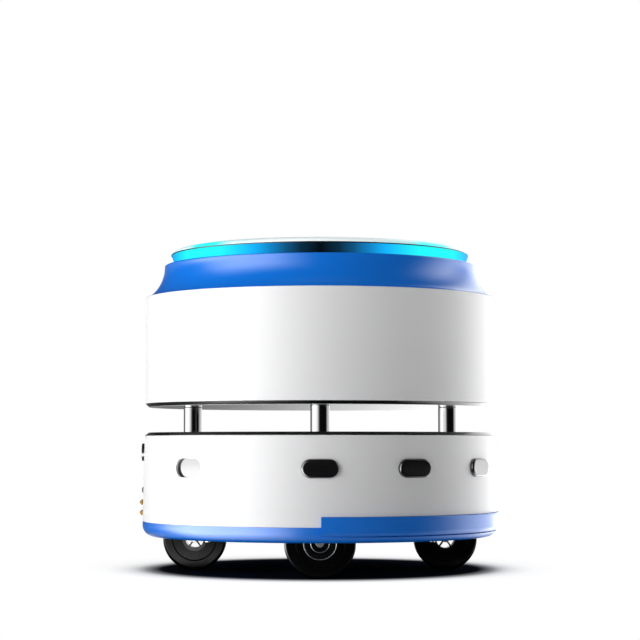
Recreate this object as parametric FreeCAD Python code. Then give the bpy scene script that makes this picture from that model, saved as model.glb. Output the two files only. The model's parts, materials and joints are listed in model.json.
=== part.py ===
import FreeCAD
import Part
import math
import os

# Round mobile robot chassis: two white drums on pillars, two drive wheels, two casters, a front bumper.
# Millimetres, Z up, X forward. The origin is on the floor under the drums' common axis.

# Heights, stacked from the floor up
ground_clearance = 49.5
pan_rim_height = 21.0
bumper_rise = 14.0
caster_height = 120.0
plate_thickness = 6.0
bay_height = 65.5
deck_thickness = 4.5
slot_height = 36.0
rim_height = 5.0
upper_wall_height = 151.0
collar_height = 46.5
light_ring_height = 14.5
light_rim_height = 1.4
cap_rise = 8.1

# Drum walls
drum_radius = 250.0
pan_flare = 3.5
foot_flare = 3.4
deck_flare = 1.0
shell_wall = 3.5
shell_edge_round = 1.2
flange_thickness = 3.0
flange_reach = 10.0
deck_chamfer = 5.5
deck_spigot_depth = 5.0
deck_spigot_width = 8.0
fit_gap = 0.25

# Base pan and chassis plate
pan_wall = 3.5
pan_corner = 16.0
plate_margin = 13.5
plate_overlap = 6.0
ledge_thickness = 3.0
plate_window_radius = 22.0
plate_window_circle = 105.0
standoff_inset = 19.0
standoff_radius = 6.0
standoff_angles = (45, 135, 225, 315)
pan_screw_radius = 2.0
pan_screw_head_radius = 4.2
pan_screw_head_height = 2.4
pan_screw_depth = 12.0

# Pillars across the slot
pillar_radius = 13.0
pillar_inset = 67.0
pillar_stud_radius = 6.0
pillar_screw_radius = 4.0
pillar_screw_depth = 18.0
pillar_head_radius = 6.5
pillar_head_height = 8.0

# Collar, light ring and top
collar_inset = 26.4
collar_foot_run = 10.0
collar_foot_rise = 2.0
collar_neck_drop = 25.5
collar_wall = 3.5
collar_edge_round = 1.5
collar_lip_margin = 6.0
ring_inset = 14.6
ring_flare = 4.6
ring_wall = 4.0
rim_overhang = 0.9
cap_shoulder = 25.6
cap_wall = 3.5
quarter_pull = 4 * (math.sqrt(2) - 1) / 3
board_gap = 3.0
board_width = 16.0
board_thickness = 1.6
led_count = 24
led_size = 5.0
led_height = 1.6
payload_radius = 149.7
payload_flange = 6.0
payload_thickness = 8.0
payload_hole_radius = 2.5
payload_hole_circle = 120.0
payload_hole_count = 4
post_radius = 10.0
post_circle = 130.0
post_angles = (45, 135, 225, 315)

# Sensor windows in the lower wall
window_width = 50.0
window_height = 25.0
window_drop = 44.0
window_proud = 4.0
window_edge_round = 3.0
window_angles = (30, -30, 60, -60, 90, -90)
inset_window_angles = (135, -135)
rear_window_width = 60.0
rear_window_height = 25.0
rear_window_drop = 23.5
rear_window_proud = 2.3
rear_window_edge_round = 1.5
window_lip = 4.0
window_lip_thickness = 2.5
seat_gap = 0.3
module_width = 40.0
module_height = 18.0
module_depth = 12.0

# Rear charging contacts and push button
contact_width = 40.0
contact_height = 7.3
contact_step = 2.1
contact_ridge_height = 4.0
contact_ridge_width = 36.0
contact_rise = 11.8
contact_pitch = 14.7
contact_stem = 10.0
block_depth = 12.0
block_margin = 6.0
block_ear_width = 6.0
button_radius = 3.2
button_bore_gap = 0.05
button_offset = -19.0
button_rise = 17.5
button_proud = 1.8
button_length = 9.0
button_travel = 1.5
barrel_radius = 4.6
barrel_length = 16.0
barrel_proud = 0.6
nut_radius = 5.4
nut_thickness = 3.0

# Front bumper and its sprung guides
bumper_thickness = 3.5
bumper_gap = 0.4
bumper_foot = 8.7
bumper_top_gap = 0.5
bumper_ledge_gap = 0.7
bumper_travel = 4.0
bumper_reserve = 1.0
bumper_end = 2.0
bumper_edge_round = 1.5
guide_spread = 100.0
guide_length = 16.0
guide_width = 20.0
guide_cap = 11.0
guide_margin = 1.5
pin_radius = 4.0
pin_bore_gap = 0.05
pin_thread = 10.0
pin_collar_radius = 6.0
pin_collar_width = 2.5
pin_tail = 2.5
boss_radius = 7.0
boss_passage = 1.5
spring_length = 12.0
spring_bore_gap = 0.4
spring_radius = 6.6
spring_waist = 1.4
spring_end = 2.0
switch_length = 14.0
switch_width = 10.0
switch_cap = 8.0
switch_gap = 0.3

# Drive wheels and gearmotors
drive_radius = 48.0
drive_width = 30.0
drive_inset = 63.5
drive_hub_radius = 22.5
drive_cup_radius = 16.0
drive_boss_radius = 8.0
drive_opening_radius = 13.5
drive_web = 9.0
drive_spokes = 5
drive_spoke_width = 3.0
drive_boss_recess = 5.0
drive_groove_radius = 33.0
shaft_radius = 5.0
shaft_bore_gap = 0.05
shaft_depth = 22.0
shaft_cap_radius = 5.7
shaft_cap_height = 3.0
gearbox_radius = 21.0
gearbox_length = 42.0
motor_radius = 19.0
motor_length = 50.0
motor_cap_radius = 16.0
motor_cap_length = 10.0
pilot_radius = 9.0
pilot_gap = 0.1
bracket_width = 50.0
bracket_thickness = 4.0
bracket_to_tyre = 7.0
bracket_flange = 30.0
bracket_screw_spread = 30.0
well_gap = 8.0
channel_gap = 3.0

# Casters
caster_radius = 45.0
caster_width = 26.0
caster_inset = 100.5
caster_trail = 26.0
caster_hub_radius = 17.7
caster_cup_radius = 13.0
caster_boss_radius = 5.0
caster_web = 8.0
caster_spokes = 5
caster_spoke_width = 2.2
caster_groove_radius = 31.0
caster_axle_radius = 3.0
axle_bore_gap = 0.05
axle_head_radius = 4.6
axle_head_height = 3.0
caster_side_gap = 2.0
fork_leg = 3.0
fork_eye_radius = 5.0
fork_head_rear = 16.0
fork_head_front = 20.0
fork_bridge = 6.0
fork_crown_radius = 22.0
fork_crown_height = 6.0
kingpin_radius = 6.0
kingpin_gap = 0.05
kingpin_recess = 0.5
race_radius = 24.0
race_height = 6.0
caster_plate_length = 76.0
caster_plate_width = 66.0
caster_plate_thickness = 4.0
caster_bolt_length = 60.0
caster_bolt_width = 50.0
caster_well_gap = 4.0

# Tyre section shared by both wheel kinds
tyre_shoulder = 3.5
tyre_side_groove = 1.6
tyre_tread_groove = 1.2
tyre_tread_spacing = 12.0

# Screws under the plate
plate_screw_radius = 3.0
plate_screw_gap = 0.1
plate_screw_head_radius = 5.0
plate_screw_head_height = 4.0

# Battery and electronics
tray_length = 226.0
tray_width = 126.0
tray_sheet = 3.0
tray_lip = 15.0
battery_length = 216.0
battery_width = 116.0
battery_height = 48.0
battery_edge = 6.0
controller_length = 120.0
controller_width = 56.0
controller_height = 12.0
controller_offset = 112.0
fin_count = 9
fin_thickness = 2.0
fin_height = 14.0
computer_length = 170.0
computer_width = 120.0
computer_height = 42.0
computer_fin_height = 10.0

# Stations worked out from the heights
z_pan_floor = ground_clearance + pan_wall
z_rear_rim = ground_clearance + pan_rim_height
z_front_rim = z_rear_rim + bumper_rise
z_ledge = ground_clearance + bumper_foot - bumper_ledge_gap
z_plate = caster_height
z_plate_top = z_plate + plate_thickness
z_deck = z_plate_top + bay_height
z_deck_top = z_deck + deck_thickness
z_upper = z_deck_top + slot_height
z_wall = z_upper + rim_height
z_collar = z_wall + upper_wall_height
z_lip = z_collar + collar_height
z_rim = z_lip + light_ring_height
z_cap = z_rim + light_rim_height
z_top = z_cap + cap_rise

# Radii worked out from the drum
pan_radius = drum_radius + pan_flare
foot_radius = drum_radius + foot_flare
deck_radius = drum_radius + deck_flare
bumper_radius = pan_radius + bumper_thickness
bumper_recess = bumper_travel + bumper_reserve
step_plane = bumper_end - bumper_top_gap
plate_radius = deck_radius - shell_wall - plate_margin
standoff_circle = plate_radius - standoff_inset
pillar_circle = drum_radius - pillar_inset
collar_top_radius = drum_radius - collar_inset
ring_foot_radius = collar_top_radius - ring_inset
ring_top_radius = ring_foot_radius + ring_flare
cap_flat_radius = ring_top_radius - cap_shoulder
board_outer_radius = ring_foot_radius - ring_wall - board_gap
board_inner_radius = board_outer_radius - board_width
collar_lip_radius = board_inner_radius - collar_lip_margin

# Wheel stations
drive_middle = pan_radius - drive_inset
drive_inner_face = drive_middle - drive_width / 2
bracket_face = drive_inner_face - bracket_to_tyre
motor_face = bracket_face - bracket_thickness
fork_inside = caster_width / 2 + caster_side_gap
fork_outside = fork_inside + fork_leg
z_race = z_plate - caster_plate_thickness - race_height
z_crown = z_race - fork_crown_height
caster_pivot = pan_radius - caster_inset
caster_sweep = math.hypot(caster_trail + caster_radius, caster_width / 2)

X = FreeCAD.Vector(1, 0, 0)
Y = FreeCAD.Vector(0, 1, 0)
Z = FreeCAD.Vector(0, 0, 1)
ORIGIN = FreeCAD.Vector(0, 0, 0)
quarters = {"front": 0, "left": 90, "rear": 180, "right": 270}


def point(r, z):
    """A point of a profile in the half plane y = 0."""
    return FreeCAD.Vector(r, 0, z)


def outline(start, *steps):
    """A closed face: a step is an end point, (middle, end) of an arc, or three more poles of a curve."""
    edges = []
    here = point(*start)
    for step in steps + (start,):
        if isinstance(step[0], tuple):
            poles = [point(*pole) for pole in step]
            if len(poles) == 2:
                edges.append(Part.Arc(here, poles[0], poles[1]).toShape())
            else:
                curve = Part.BezierCurve()
                curve.setPoles([here] + poles)
                edges.append(curve.toShape())
            here = poles[-1]
        else:
            there = point(*step)
            if here.distanceToPoint(there) > 1e-7:
                edges.append(Part.LineSegment(here, there).toShape())
            here = there
    return Part.Face(Part.Wire(edges))


def round_mid(centre, radius, degrees):
    """The middle point of a quarter round about a centre of the profile."""
    angle = math.radians(degrees)
    return (centre[0] + radius * math.cos(angle), centre[1] + radius * math.sin(angle))


def spin(face):
    """A solid of revolution about the vertical axis."""
    return face.revolve(ORIGIN, Z, 360)


def cylinder(radius, length, base, axis=Z):
    return Part.makeCylinder(radius, length, FreeCAD.Vector(*base), axis)


def block(low, high):
    """A box between two corners."""
    size = [top - bottom for bottom, top in zip(low, high)]
    return Part.makeBox(size[0], size[1], size[2], FreeCAD.Vector(*low))


def ring(inner, outer, low, high):
    """A flat ring about the vertical axis."""
    height = high - low
    return cylinder(outer, height, (0, 0, low)).cut(cylinder(inner, height, (0, 0, low)))


def fused(shapes):
    """Overlapping shapes joined to one clean solid."""
    return shapes[0].multiFuse(shapes[1:]).removeSplitter()


def turned(shape, degrees):
    """A copy turned about the vertical axis."""
    copy = shape.copy()
    copy.rotate(ORIGIN, Z, degrees)
    return copy


def moved(shape, x, y, z):
    copy = shape.copy()
    copy.translate(FreeCAD.Vector(x, y, z))
    return copy


def on_circle(radius, degrees):
    """A plan position on a circle about the vertical axis."""
    angle = math.radians(degrees)
    return (radius * math.cos(angle), radius * math.sin(angle))


def obround(width, height, x_low, x_high, z):
    """A bar with round ends, lying across X, centred on y = 0."""
    half = height / 2
    reach = width / 2 - half
    lower = [(-reach, -half), (reach, -half), (reach + half, 0)]
    upper = [(reach, half), (-reach, half), (-reach - half, 0)]
    spots = [FreeCAD.Vector(x_low, y, z + rise) for y, rise in lower + upper]
    edges = [
        Part.LineSegment(spots[0], spots[1]).toShape(),
        Part.Arc(spots[1], spots[2], spots[3]).toShape(),
        Part.LineSegment(spots[3], spots[4]).toShape(),
        Part.Arc(spots[4], spots[5], spots[0]).toShape(),
    ]
    return Part.Face(Part.Wire(edges)).extrude(FreeCAD.Vector(x_high - x_low, 0, 0))


def lower_radius(z):
    """Outer radius of the flared lower wall at a height."""
    share = (z_deck - z) / (z_deck - z_rear_rim)
    return deck_radius + (foot_radius - deck_radius) * share


def pan_solid(inset, top):
    """The pan's round-bottomed outline, filled, moved in by a wall or out by a gap."""
    corner = (pan_radius - pan_corner, ground_clearance + pan_corner)
    radius = pan_corner - inset
    face = outline(
        (0, ground_clearance + inset),
        (corner[0], ground_clearance + inset),
        (round_mid(corner, radius, -45), (pan_radius - inset, corner[1])),
        (pan_radius - inset, top),
        (0, top),
    )
    return spin(face)


def bumper_pin_sides():
    return (-guide_spread, guide_spread)


z_pin = (z_ledge + z_front_rim) / 2
guide_corner = math.sqrt((pan_radius - pan_corner) ** 2 - (guide_spread + guide_width / 2) ** 2)
guide_front = guide_corner - bumper_recess - guide_margin
guide_rear = guide_front - guide_length
boss_end = guide_front + spring_length
collar_front = guide_rear - switch_gap
pin_end = collar_front - pin_collar_width - pin_tail


def base_pan():
    outer = pan_solid(0, z_front_rim)
    set_back = moved(outer, -bumper_recess, 0, 0)
    reach = bumper_radius + bumper_recess
    front = block((step_plane, -reach, z_ledge), (reach, reach, z_front_rim))
    outer = outer.cut(front.cut(set_back))
    outer = outer.cut(block((-reach, -reach, z_rear_rim), (step_plane, reach, z_front_rim)))
    inner = pan_solid(pan_wall, z_front_rim)
    meeting = -bumper_recess / 2
    rear_room = inner.common(block((-reach, -reach, ground_clearance), (meeting, reach, z_front_rim)))
    front_room = moved(inner, -bumper_recess, 0, 0)
    front_room = front_room.common(block((meeting, -reach, ground_clearance), (reach, reach, z_front_rim)))
    pan = outer.cut(rear_room).cut(front_room)
    cuts = []
    for side in (-1, 1):
        pivot = (side * caster_pivot, 0, ground_clearance)
        cuts.append(cylinder(caster_sweep + caster_well_gap, pan_wall, pivot))
        cuts.append(drive_well(side))
    for y in bumper_pin_sides():
        cuts.append(cylinder(boss_radius + boss_passage, reach - guide_front, (guide_front, y, z_pin), X))
    for angle in standoff_angles:
        spot = on_circle(standoff_circle, angle)
        cuts.append(cylinder(pan_screw_radius + fit_gap, pan_wall, (*spot, ground_clearance)))
    for cut in cuts:
        pan = pan.cut(cut)
    return pan


def drive_well(side):
    """The opening in the pan's floor for one drive wheel, its bracket and its motor."""
    across = drive_radius + well_gap
    low = drive_inner_face - well_gap
    high = drive_inner_face + drive_width + well_gap
    channel = bracket_width / 2 + channel_gap
    tail = motor_face - gearbox_length - motor_length - motor_cap_length - well_gap
    wheel = block((-across, low, ground_clearance), (across, high, z_pan_floor))
    motor = block((-channel, tail, ground_clearance), (channel, low + well_gap, z_pan_floor))
    well = wheel.fuse(motor)
    if side < 0:
        well = turned(well, 180)
    return well


def bracket_screw_spots(side):
    y = motor_face - bracket_flange / 2
    return [(-bracket_screw_spread / 2, side * y), (bracket_screw_spread / 2, side * y)]


def caster_screw_spots(side):
    half_x = caster_bolt_length / 2
    half_y = caster_bolt_width / 2
    return [(side * caster_pivot + dx, dy) for dx in (-half_x, half_x) for dy in (-half_y, half_y)]


def plate_screw_spots():
    spots = []
    for side in (-1, 1):
        spots += caster_screw_spots(side)
    return spots


def chassis_plate():
    plate = cylinder(plate_radius, plate_thickness, (0, 0, z_plate))
    holes = []
    for angle in quarters.values():
        holes.append((on_circle(pillar_circle, angle), pillar_stud_radius + fit_gap))
    for angle in standoff_angles:
        holes.append((on_circle(standoff_circle, angle), pan_screw_radius + fit_gap))
        holes.append((on_circle(plate_window_circle, angle), plate_window_radius))
    for side in (-1, 1):
        for spot in caster_screw_spots(side) + bracket_screw_spots(side):
            holes.append((spot, plate_screw_radius + plate_screw_gap))
    for spot, radius in holes:
        plate = plate.cut(cylinder(radius, plate_thickness, (*spot, z_plate)))
    return plate


def pan_standoffs():
    posts = []
    for angle in standoff_angles:
        spot = on_circle(standoff_circle, angle)
        post = cylinder(standoff_radius, z_plate - z_pan_floor, (*spot, z_pan_floor))
        stud = cylinder(pan_screw_radius, plate_thickness, (*spot, z_plate))
        thread = cylinder(pan_screw_radius, pan_screw_depth, (*spot, z_pan_floor))
        posts.append(post.fuse(stud).cut(thread))
    return Part.makeCompound(posts)


def headed_screw(spot, z_seat, shank, length, head, height, up=1):
    """A screw whose head bears on z_seat; up = 1 points its shank upwards."""
    foot = z_seat if up > 0 else z_seat - length
    cap = z_seat - height if up > 0 else z_seat
    return fused([cylinder(shank, length, (*spot, foot)), cylinder(head, height, (*spot, cap))])


def pan_screws():
    length = pan_wall + pan_screw_depth
    head = (pan_screw_head_radius, pan_screw_head_height)
    spots = [on_circle(standoff_circle, angle) for angle in standoff_angles]
    return Part.makeCompound(
        [headed_screw(spot, ground_clearance, pan_screw_radius, length, *head) for spot in spots]
    )


def plate_screws(spots, z_seat):
    length = z_plate_top - z_seat
    head = (plate_screw_head_radius, plate_screw_head_height)
    return Part.makeCompound(
        [headed_screw(spot, z_seat, plate_screw_radius, length, *head) for spot in spots]
    )


def lower_shell():
    inner_foot = foot_radius - shell_wall
    inner_deck = deck_radius - shell_wall
    edge = (deck_radius - shell_edge_round, z_deck - shell_edge_round)
    wall = spin(
        outline(
            (inner_foot, z_rear_rim),
            (foot_radius, z_rear_rim),
            (deck_radius, edge[1]),
            (round_mid(edge, shell_edge_round, 45), (edge[0], z_deck)),
            (inner_deck, z_deck),
        )
    )
    ledge_outer = lower_radius(z_plate_top) - shell_wall / 2
    ledge = ring(plate_radius - plate_overlap, ledge_outer, z_plate_top, z_plate_top + ledge_thickness)
    shell = fused([wall, ledge])
    reach = bumper_radius
    shell = shell.cut(block((step_plane, -reach, z_rear_rim), (reach, reach, z_front_rim)))
    tools = [window_cut(angle) for angle in window_angles + inset_window_angles]
    tools.append(rear_window_cut())
    for z in contact_heights():
        half = contact_width / 2 + fit_gap
        high = contact_height / 2 + fit_gap
        tools.append(block((-reach, -half, z - high), (contact_back(), half, z + high)))
    tools.append(cylinder(barrel_radius + fit_gap, barrel_length, (-reach, button_offset, z_button), X))
    for tool in tools:
        shell = shell.cut(tool)
    return shell


z_window = z_deck - window_drop
z_rear_window = z_deck - rear_window_drop


def window_face(z, proud):
    return lower_radius(z) + proud


def lip_front(z, width):
    """Where a window's inner lip meets the curved inside of the wall."""
    inside = lower_radius(z) - shell_wall
    return math.sqrt(inside ** 2 - (width / 2 + window_lip) ** 2) - seat_gap


def window_opening(z, width, height, proud):
    return obround(
        width + 2 * fit_gap,
        height + 2 * fit_gap,
        lip_front(z, width) - window_lip_thickness,
        window_face(z, proud),
        z,
    )


def window_cut(angle):
    return turned(window_opening(z_window, window_width, window_height, window_proud), angle)


def rear_window_cut():
    cut = window_opening(z_rear_window, rear_window_width, rear_window_height, rear_window_proud)
    return turned(cut, 180)


def inset_window(z, width, height):
    """A flat window behind its opening; on a raised window it is the lip that holds it."""
    front = lip_front(z, width)
    size = (width + 2 * window_lip, height + 2 * window_lip)
    return obround(*size, front - window_lip_thickness, front, z)


def raised_window(z, width, height, proud, edge_round):
    """An obround window that stands proud of the wall, with a rounded rim and its lip inside."""
    face = window_face(z, proud)
    body = obround(width, height, lip_front(z, width) - window_lip_thickness, face, z)
    rim = [edge for edge in body.Edges if edge.BoundBox.XMin > face - fit_gap]
    return fused([body.makeFillet(edge_round, rim), inset_window(z, width, height)])


def sensor_windows():
    size = (z_window, window_width, window_height)
    raised = raised_window(*size, window_proud, window_edge_round)
    windows = [turned(raised, angle) for angle in window_angles]
    windows += [turned(inset_window(*size), angle) for angle in inset_window_angles]
    return Part.makeCompound(windows)


def sensor_modules():
    back = lip_front(z_window, window_width) - window_lip_thickness
    half = module_width / 2
    high = module_height / 2
    module = block((back - module_depth, -half, z_window - high), (back, half, z_window + high))
    angles = window_angles + inset_window_angles
    return Part.makeCompound([turned(module, angle) for angle in angles])


def rear_window():
    size = (z_rear_window, rear_window_width, rear_window_height)
    return turned(raised_window(*size, rear_window_proud, rear_window_edge_round), 180)


def contact_heights():
    low = z_rear_rim + contact_rise
    return (low, low + contact_pitch)


def contact_back():
    """Plane where the contacts end on their holder, inside the rear wall."""
    return -(bumper_radius - contact_step - contact_stem)


def charge_contacts():
    strips = []
    base_front = -(bumper_radius - contact_step)
    for z in contact_heights():
        half = contact_width / 2
        high = contact_height / 2
        base = block((base_front, -half, z - high), (contact_back(), half, z + high))
        ridge_half = contact_ridge_width / 2
        ridge_high = contact_ridge_height / 2
        ridge_low = (-bumper_radius, -ridge_half, z - ridge_high)
        ridge = block(ridge_low, (base_front, ridge_half, z + ridge_high))
        strips.append(fused([base, ridge]))
    return Part.makeCompound(strips)


def charge_block():
    low, high = contact_heights()
    bottom = low - contact_height / 2 - block_margin / 2
    top = high + contact_height / 2 + block_margin / 2
    half = contact_width / 2 + block_margin + block_ear_width
    front = contact_back()
    holder = block((front, -half, bottom), (front + block_depth, half, top))
    inside = lower_radius(top) - shell_wall
    ear_front = -(math.sqrt(inside ** 2 - half ** 2) - seat_gap)
    pieces = [holder]
    for side in (-1, 1):
        edges = sorted((side * half, side * (half - block_ear_width)))
        pieces.append(block((ear_front, edges[0], bottom), (front, edges[1], top)))
    return fused(pieces)


z_button = z_rear_rim + contact_rise + contact_pitch + button_rise
button_wall = -math.sqrt(lower_radius(z_button) ** 2 - button_offset ** 2)
button_front = button_wall - button_proud


def button_switch():
    front = button_wall - barrel_proud
    place = (front, button_offset, z_button)
    barrel = cylinder(barrel_radius, barrel_length, place, X)
    inside = -math.sqrt((lower_radius(z_button) - shell_wall) ** 2 - (abs(button_offset) + nut_radius) ** 2)
    nut = cylinder(nut_radius, nut_thickness, (inside + seat_gap, button_offset, z_button), X)
    depth = button_length + button_travel
    well = cylinder(button_radius + button_bore_gap, depth, (button_front, button_offset, z_button), X)
    return fused([barrel, nut]).cut(well)


def power_button():
    """A round push button with a domed front."""
    edge = button_radius / 3
    rim = (button_radius - edge, button_length - edge)
    face = outline(
        (0, 0),
        (button_radius, 0),
        (button_radius, rim[1]),
        (round_mid(rim, edge, 45), (rim[0], button_length)),
        (0, button_length),
    )
    button = spin(face)
    button.rotate(ORIGIN, Y, -90)
    return moved(button, button_front + button_length, button_offset, z_button)


def lower_deck():
    top_radius = deck_radius - deck_chamfer
    spigot = deck_radius - shell_wall - fit_gap
    face = outline(
        (0, z_deck),
        (spigot - deck_spigot_width, z_deck),
        (spigot - deck_spigot_width, z_deck - deck_spigot_depth),
        (spigot, z_deck - deck_spigot_depth),
        (spigot, z_deck),
        (deck_radius, z_deck),
        (top_radius, z_deck_top),
        (0, z_deck_top),
    )
    deck = spin(face)
    for angle in quarters.values():
        spot = on_circle(pillar_circle, angle)
        deck = deck.cut(cylinder(pillar_radius + fit_gap, deck_thickness, (*spot, z_deck)))
    return deck


def pillar(angle):
    spot = on_circle(pillar_circle, angle)
    post = cylinder(pillar_radius, z_upper - z_plate_top, (*spot, z_plate_top))
    stud = cylinder(pillar_stud_radius, plate_thickness, (*spot, z_plate))
    thread = cylinder(pillar_screw_radius, pillar_screw_depth, (*spot, z_upper - pillar_screw_depth))
    return post.fuse(stud).cut(thread)


def pillar_screws():
    length = rim_height + pillar_screw_depth
    head = (pillar_head_radius, pillar_head_height)
    spots = [on_circle(pillar_circle, angle) for angle in quarters.values()]
    return Part.makeCompound(
        [headed_screw(spot, z_wall, pillar_screw_radius, length, *head, up=-1) for spot in spots]
    )


def upper_plate():
    plate = cylinder(drum_radius - rim_height - fit_gap, rim_height, (0, 0, z_upper))
    for angle in quarters.values():
        spot = on_circle(pillar_circle, angle)
        plate = plate.cut(cylinder(pillar_screw_radius + fit_gap, rim_height, (*spot, z_upper)))
    return plate


def upper_rim():
    inner = drum_radius - rim_height
    return spin(outline((inner, z_upper), (drum_radius, z_wall), (inner, z_wall)))


def upper_shell():
    inner = drum_radius - shell_wall
    flange = inner - flange_reach
    face = outline(
        (flange, z_wall),
        (drum_radius, z_wall),
        (drum_radius, z_collar),
        (flange, z_collar),
        (flange, z_collar - flange_thickness),
        (inner, z_collar - flange_thickness),
        (inner, z_wall + flange_thickness),
        (flange, z_wall + flange_thickness),
    )
    return spin(face)


def collar_outline(shift):
    """The concave collar filled to the axis, moved in and down by a wall."""
    foot = drum_radius - shift
    neck = collar_top_radius - shift
    low = z_collar - shift
    top = z_lip - shift
    edge = (neck - collar_edge_round, top - collar_edge_round)
    return outline(
        (0, low),
        (foot, low),
        (
            (foot - collar_foot_run, low + collar_foot_rise),
            (neck, top - collar_neck_drop),
            (neck, edge[1]),
        ),
        (round_mid(edge, collar_edge_round, 45), (edge[0], top)),
        (0, top),
    )


def top_collar():
    collar = spin(collar_outline(0)).cut(spin(collar_outline(collar_wall)))
    return collar.cut(cylinder(collar_lip_radius, collar_height, (0, 0, z_collar)))


def led_board():
    """A ring board with a row of light-emitting packages."""
    top = z_lip + board_thickness
    pieces = [ring(board_inner_radius, board_outer_radius, z_lip, top)]
    middle = (board_inner_radius + board_outer_radius) / 2
    half = led_size / 2
    led = block((middle - half, -half, top), (middle + half, half, top + led_height))
    for index in range(led_count):
        pieces.append(turned(led, 360 * index / led_count))
    return fused(pieces)


def light_ring():
    return spin(
        outline(
            (ring_foot_radius - ring_wall, z_lip),
            (ring_foot_radius, z_lip),
            (ring_top_radius, z_rim),
            (ring_top_radius - ring_wall, z_rim),
        )
    )


def light_rim():
    return ring(ring_top_radius - ring_wall, ring_top_radius + rim_overhang, z_rim, z_cap)


def cap_outline(outer, top):
    """A shallow domed disc on the light rim: a quarter ellipse from its edge to its flat."""
    run = (outer - cap_flat_radius) * quarter_pull
    rise = (top - z_cap) * quarter_pull
    return outline(
        (0, z_cap),
        (outer, z_cap),
        ((outer, z_cap + rise), (cap_flat_radius + run, top), (cap_flat_radius, top)),
        (0, top),
    )


def top_cap():
    dome = spin(cap_outline(ring_top_radius, z_top))
    hollow = spin(cap_outline(ring_top_radius - ring_wall, z_top - cap_wall))
    return dome.cut(hollow).cut(cylinder(payload_radius + fit_gap, cap_rise, (0, 0, z_cap)))


def payload_plate():
    foot = z_top - payload_thickness
    plate = cylinder(payload_radius, payload_thickness, (0, 0, foot))
    flange = cylinder(payload_radius + payload_flange, payload_thickness - cap_wall, (0, 0, foot))
    plate = fused([plate, flange])
    for index in range(payload_hole_count):
        spot = on_circle(payload_hole_circle, 360 * index / payload_hole_count)
        plate = plate.cut(cylinder(payload_hole_radius, payload_thickness, (*spot, foot)))
    return plate


def payload_posts():
    height = z_top - payload_thickness - z_wall
    return Part.makeCompound(
        [cylinder(post_radius, height, (*on_circle(post_circle, angle), z_wall)) for angle in post_angles]
    )


def front_bumper():
    """Half ring that follows the pan's rounded corner, with a boss for each guide pin."""
    bottom = ground_clearance + bumper_foot
    top = z_front_rim - bumper_top_gap
    filled = pan_solid(-bumper_thickness, top)
    edge = (bumper_radius - bumper_edge_round, top - bumper_edge_round)
    rounding = spin(
        outline(
            (edge[0], top),
            (round_mid(edge, bumper_edge_round, 45), (bumper_radius, edge[1])),
            (bumper_radius, top),
        )
    )
    filled = filled.cut(rounding)
    half = filled.common(
        block((bumper_end, -bumper_radius, bottom), (bumper_radius, bumper_radius, top))
    )
    skin = half.cut(pan_solid(-bumper_gap, z_front_rim))
    pieces = [skin]
    for y in bumper_pin_sides():
        pieces.append(cylinder(boss_radius, bumper_radius - boss_end, (boss_end, y, z_pin), X).common(half))
    bumper = fused(pieces)
    for y in bumper_pin_sides():
        bumper = bumper.cut(cylinder(pin_radius, pin_thread, (boss_end, y, z_pin), X))
    return bumper


def bumper_pins():
    pins = []
    for y in bumper_pin_sides():
        rod = cylinder(pin_radius, boss_end + pin_thread - pin_end, (pin_end, y, z_pin), X)
        collar_rear = collar_front - pin_collar_width
        collar = cylinder(pin_collar_radius, pin_collar_width, (collar_rear, y, z_pin), X)
        pins.append(fused([rod, collar]))
    return Part.makeCompound(pins)


def bumper_guides():
    guides = []
    half = guide_width / 2
    for y in bumper_pin_sides():
        guide = block((guide_rear, y - half, z_pan_floor), (guide_front, y + half, z_pin + guide_cap))
        bore = cylinder(pin_radius + pin_bore_gap, guide_length, (guide_rear, y, z_pin), X)
        guides.append(guide.cut(bore))
    return Part.makeCompound(guides)


def bumper_springs():
    """Waisted rubber sleeves round the pins, between guide and boss, that push the bumper back out."""
    bore = pin_radius + spring_bore_gap
    middle = (spring_radius - spring_waist, spring_length / 2)
    sleeve = spin(
        outline(
            (bore, 0),
            (spring_radius, 0),
            (spring_radius, spring_end),
            (middle, (spring_radius, spring_length - spring_end)),
            (spring_radius, spring_length),
            (bore, spring_length),
        )
    )
    sleeve.rotate(ORIGIN, Y, 90)
    return Part.makeCompound([moved(sleeve, guide_front, y, z_pin) for y in bumper_pin_sides()])


def bumper_switches():
    front = pin_end - bumper_travel - switch_gap
    half = switch_width / 2
    return Part.makeCompound(
        [
            block((front - switch_length, y - half, z_pan_floor), (front, y + half, z_pin + switch_cap))
            for y in bumper_pin_sides()
        ]
    )


def tyre(outer, inner, width, middle, groove_radius):
    """A solid tyre with round shoulders, a ring groove on each side and two tread grooves."""
    low = middle - width / 2
    high = middle + width / 2
    shoulder = outer - tyre_shoulder
    half = tyre_side_groove / 2
    spread = tyre_tread_spacing / 2
    face = outline(
        (inner, low),
        (groove_radius - half, low),
        (groove_radius, low + half),
        (groove_radius + half, low),
        (shoulder, low),
        (round_mid((shoulder, low + tyre_shoulder), tyre_shoulder, -45), (outer, low + tyre_shoulder)),
        (outer, middle - spread - tyre_tread_groove),
        (outer - tyre_tread_groove, middle - spread),
        (outer, middle - spread + tyre_tread_groove),
        (outer, middle + spread - tyre_tread_groove),
        (outer - tyre_tread_groove, middle + spread),
        (outer, middle + spread + tyre_tread_groove),
        (outer, high - tyre_shoulder),
        (round_mid((shoulder, high - tyre_shoulder), tyre_shoulder, 45), (shoulder, high)),
        (groove_radius + half, high),
        (groove_radius, high - half),
        (groove_radius - half, high),
        (inner, high),
    )
    return spin(face)


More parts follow.
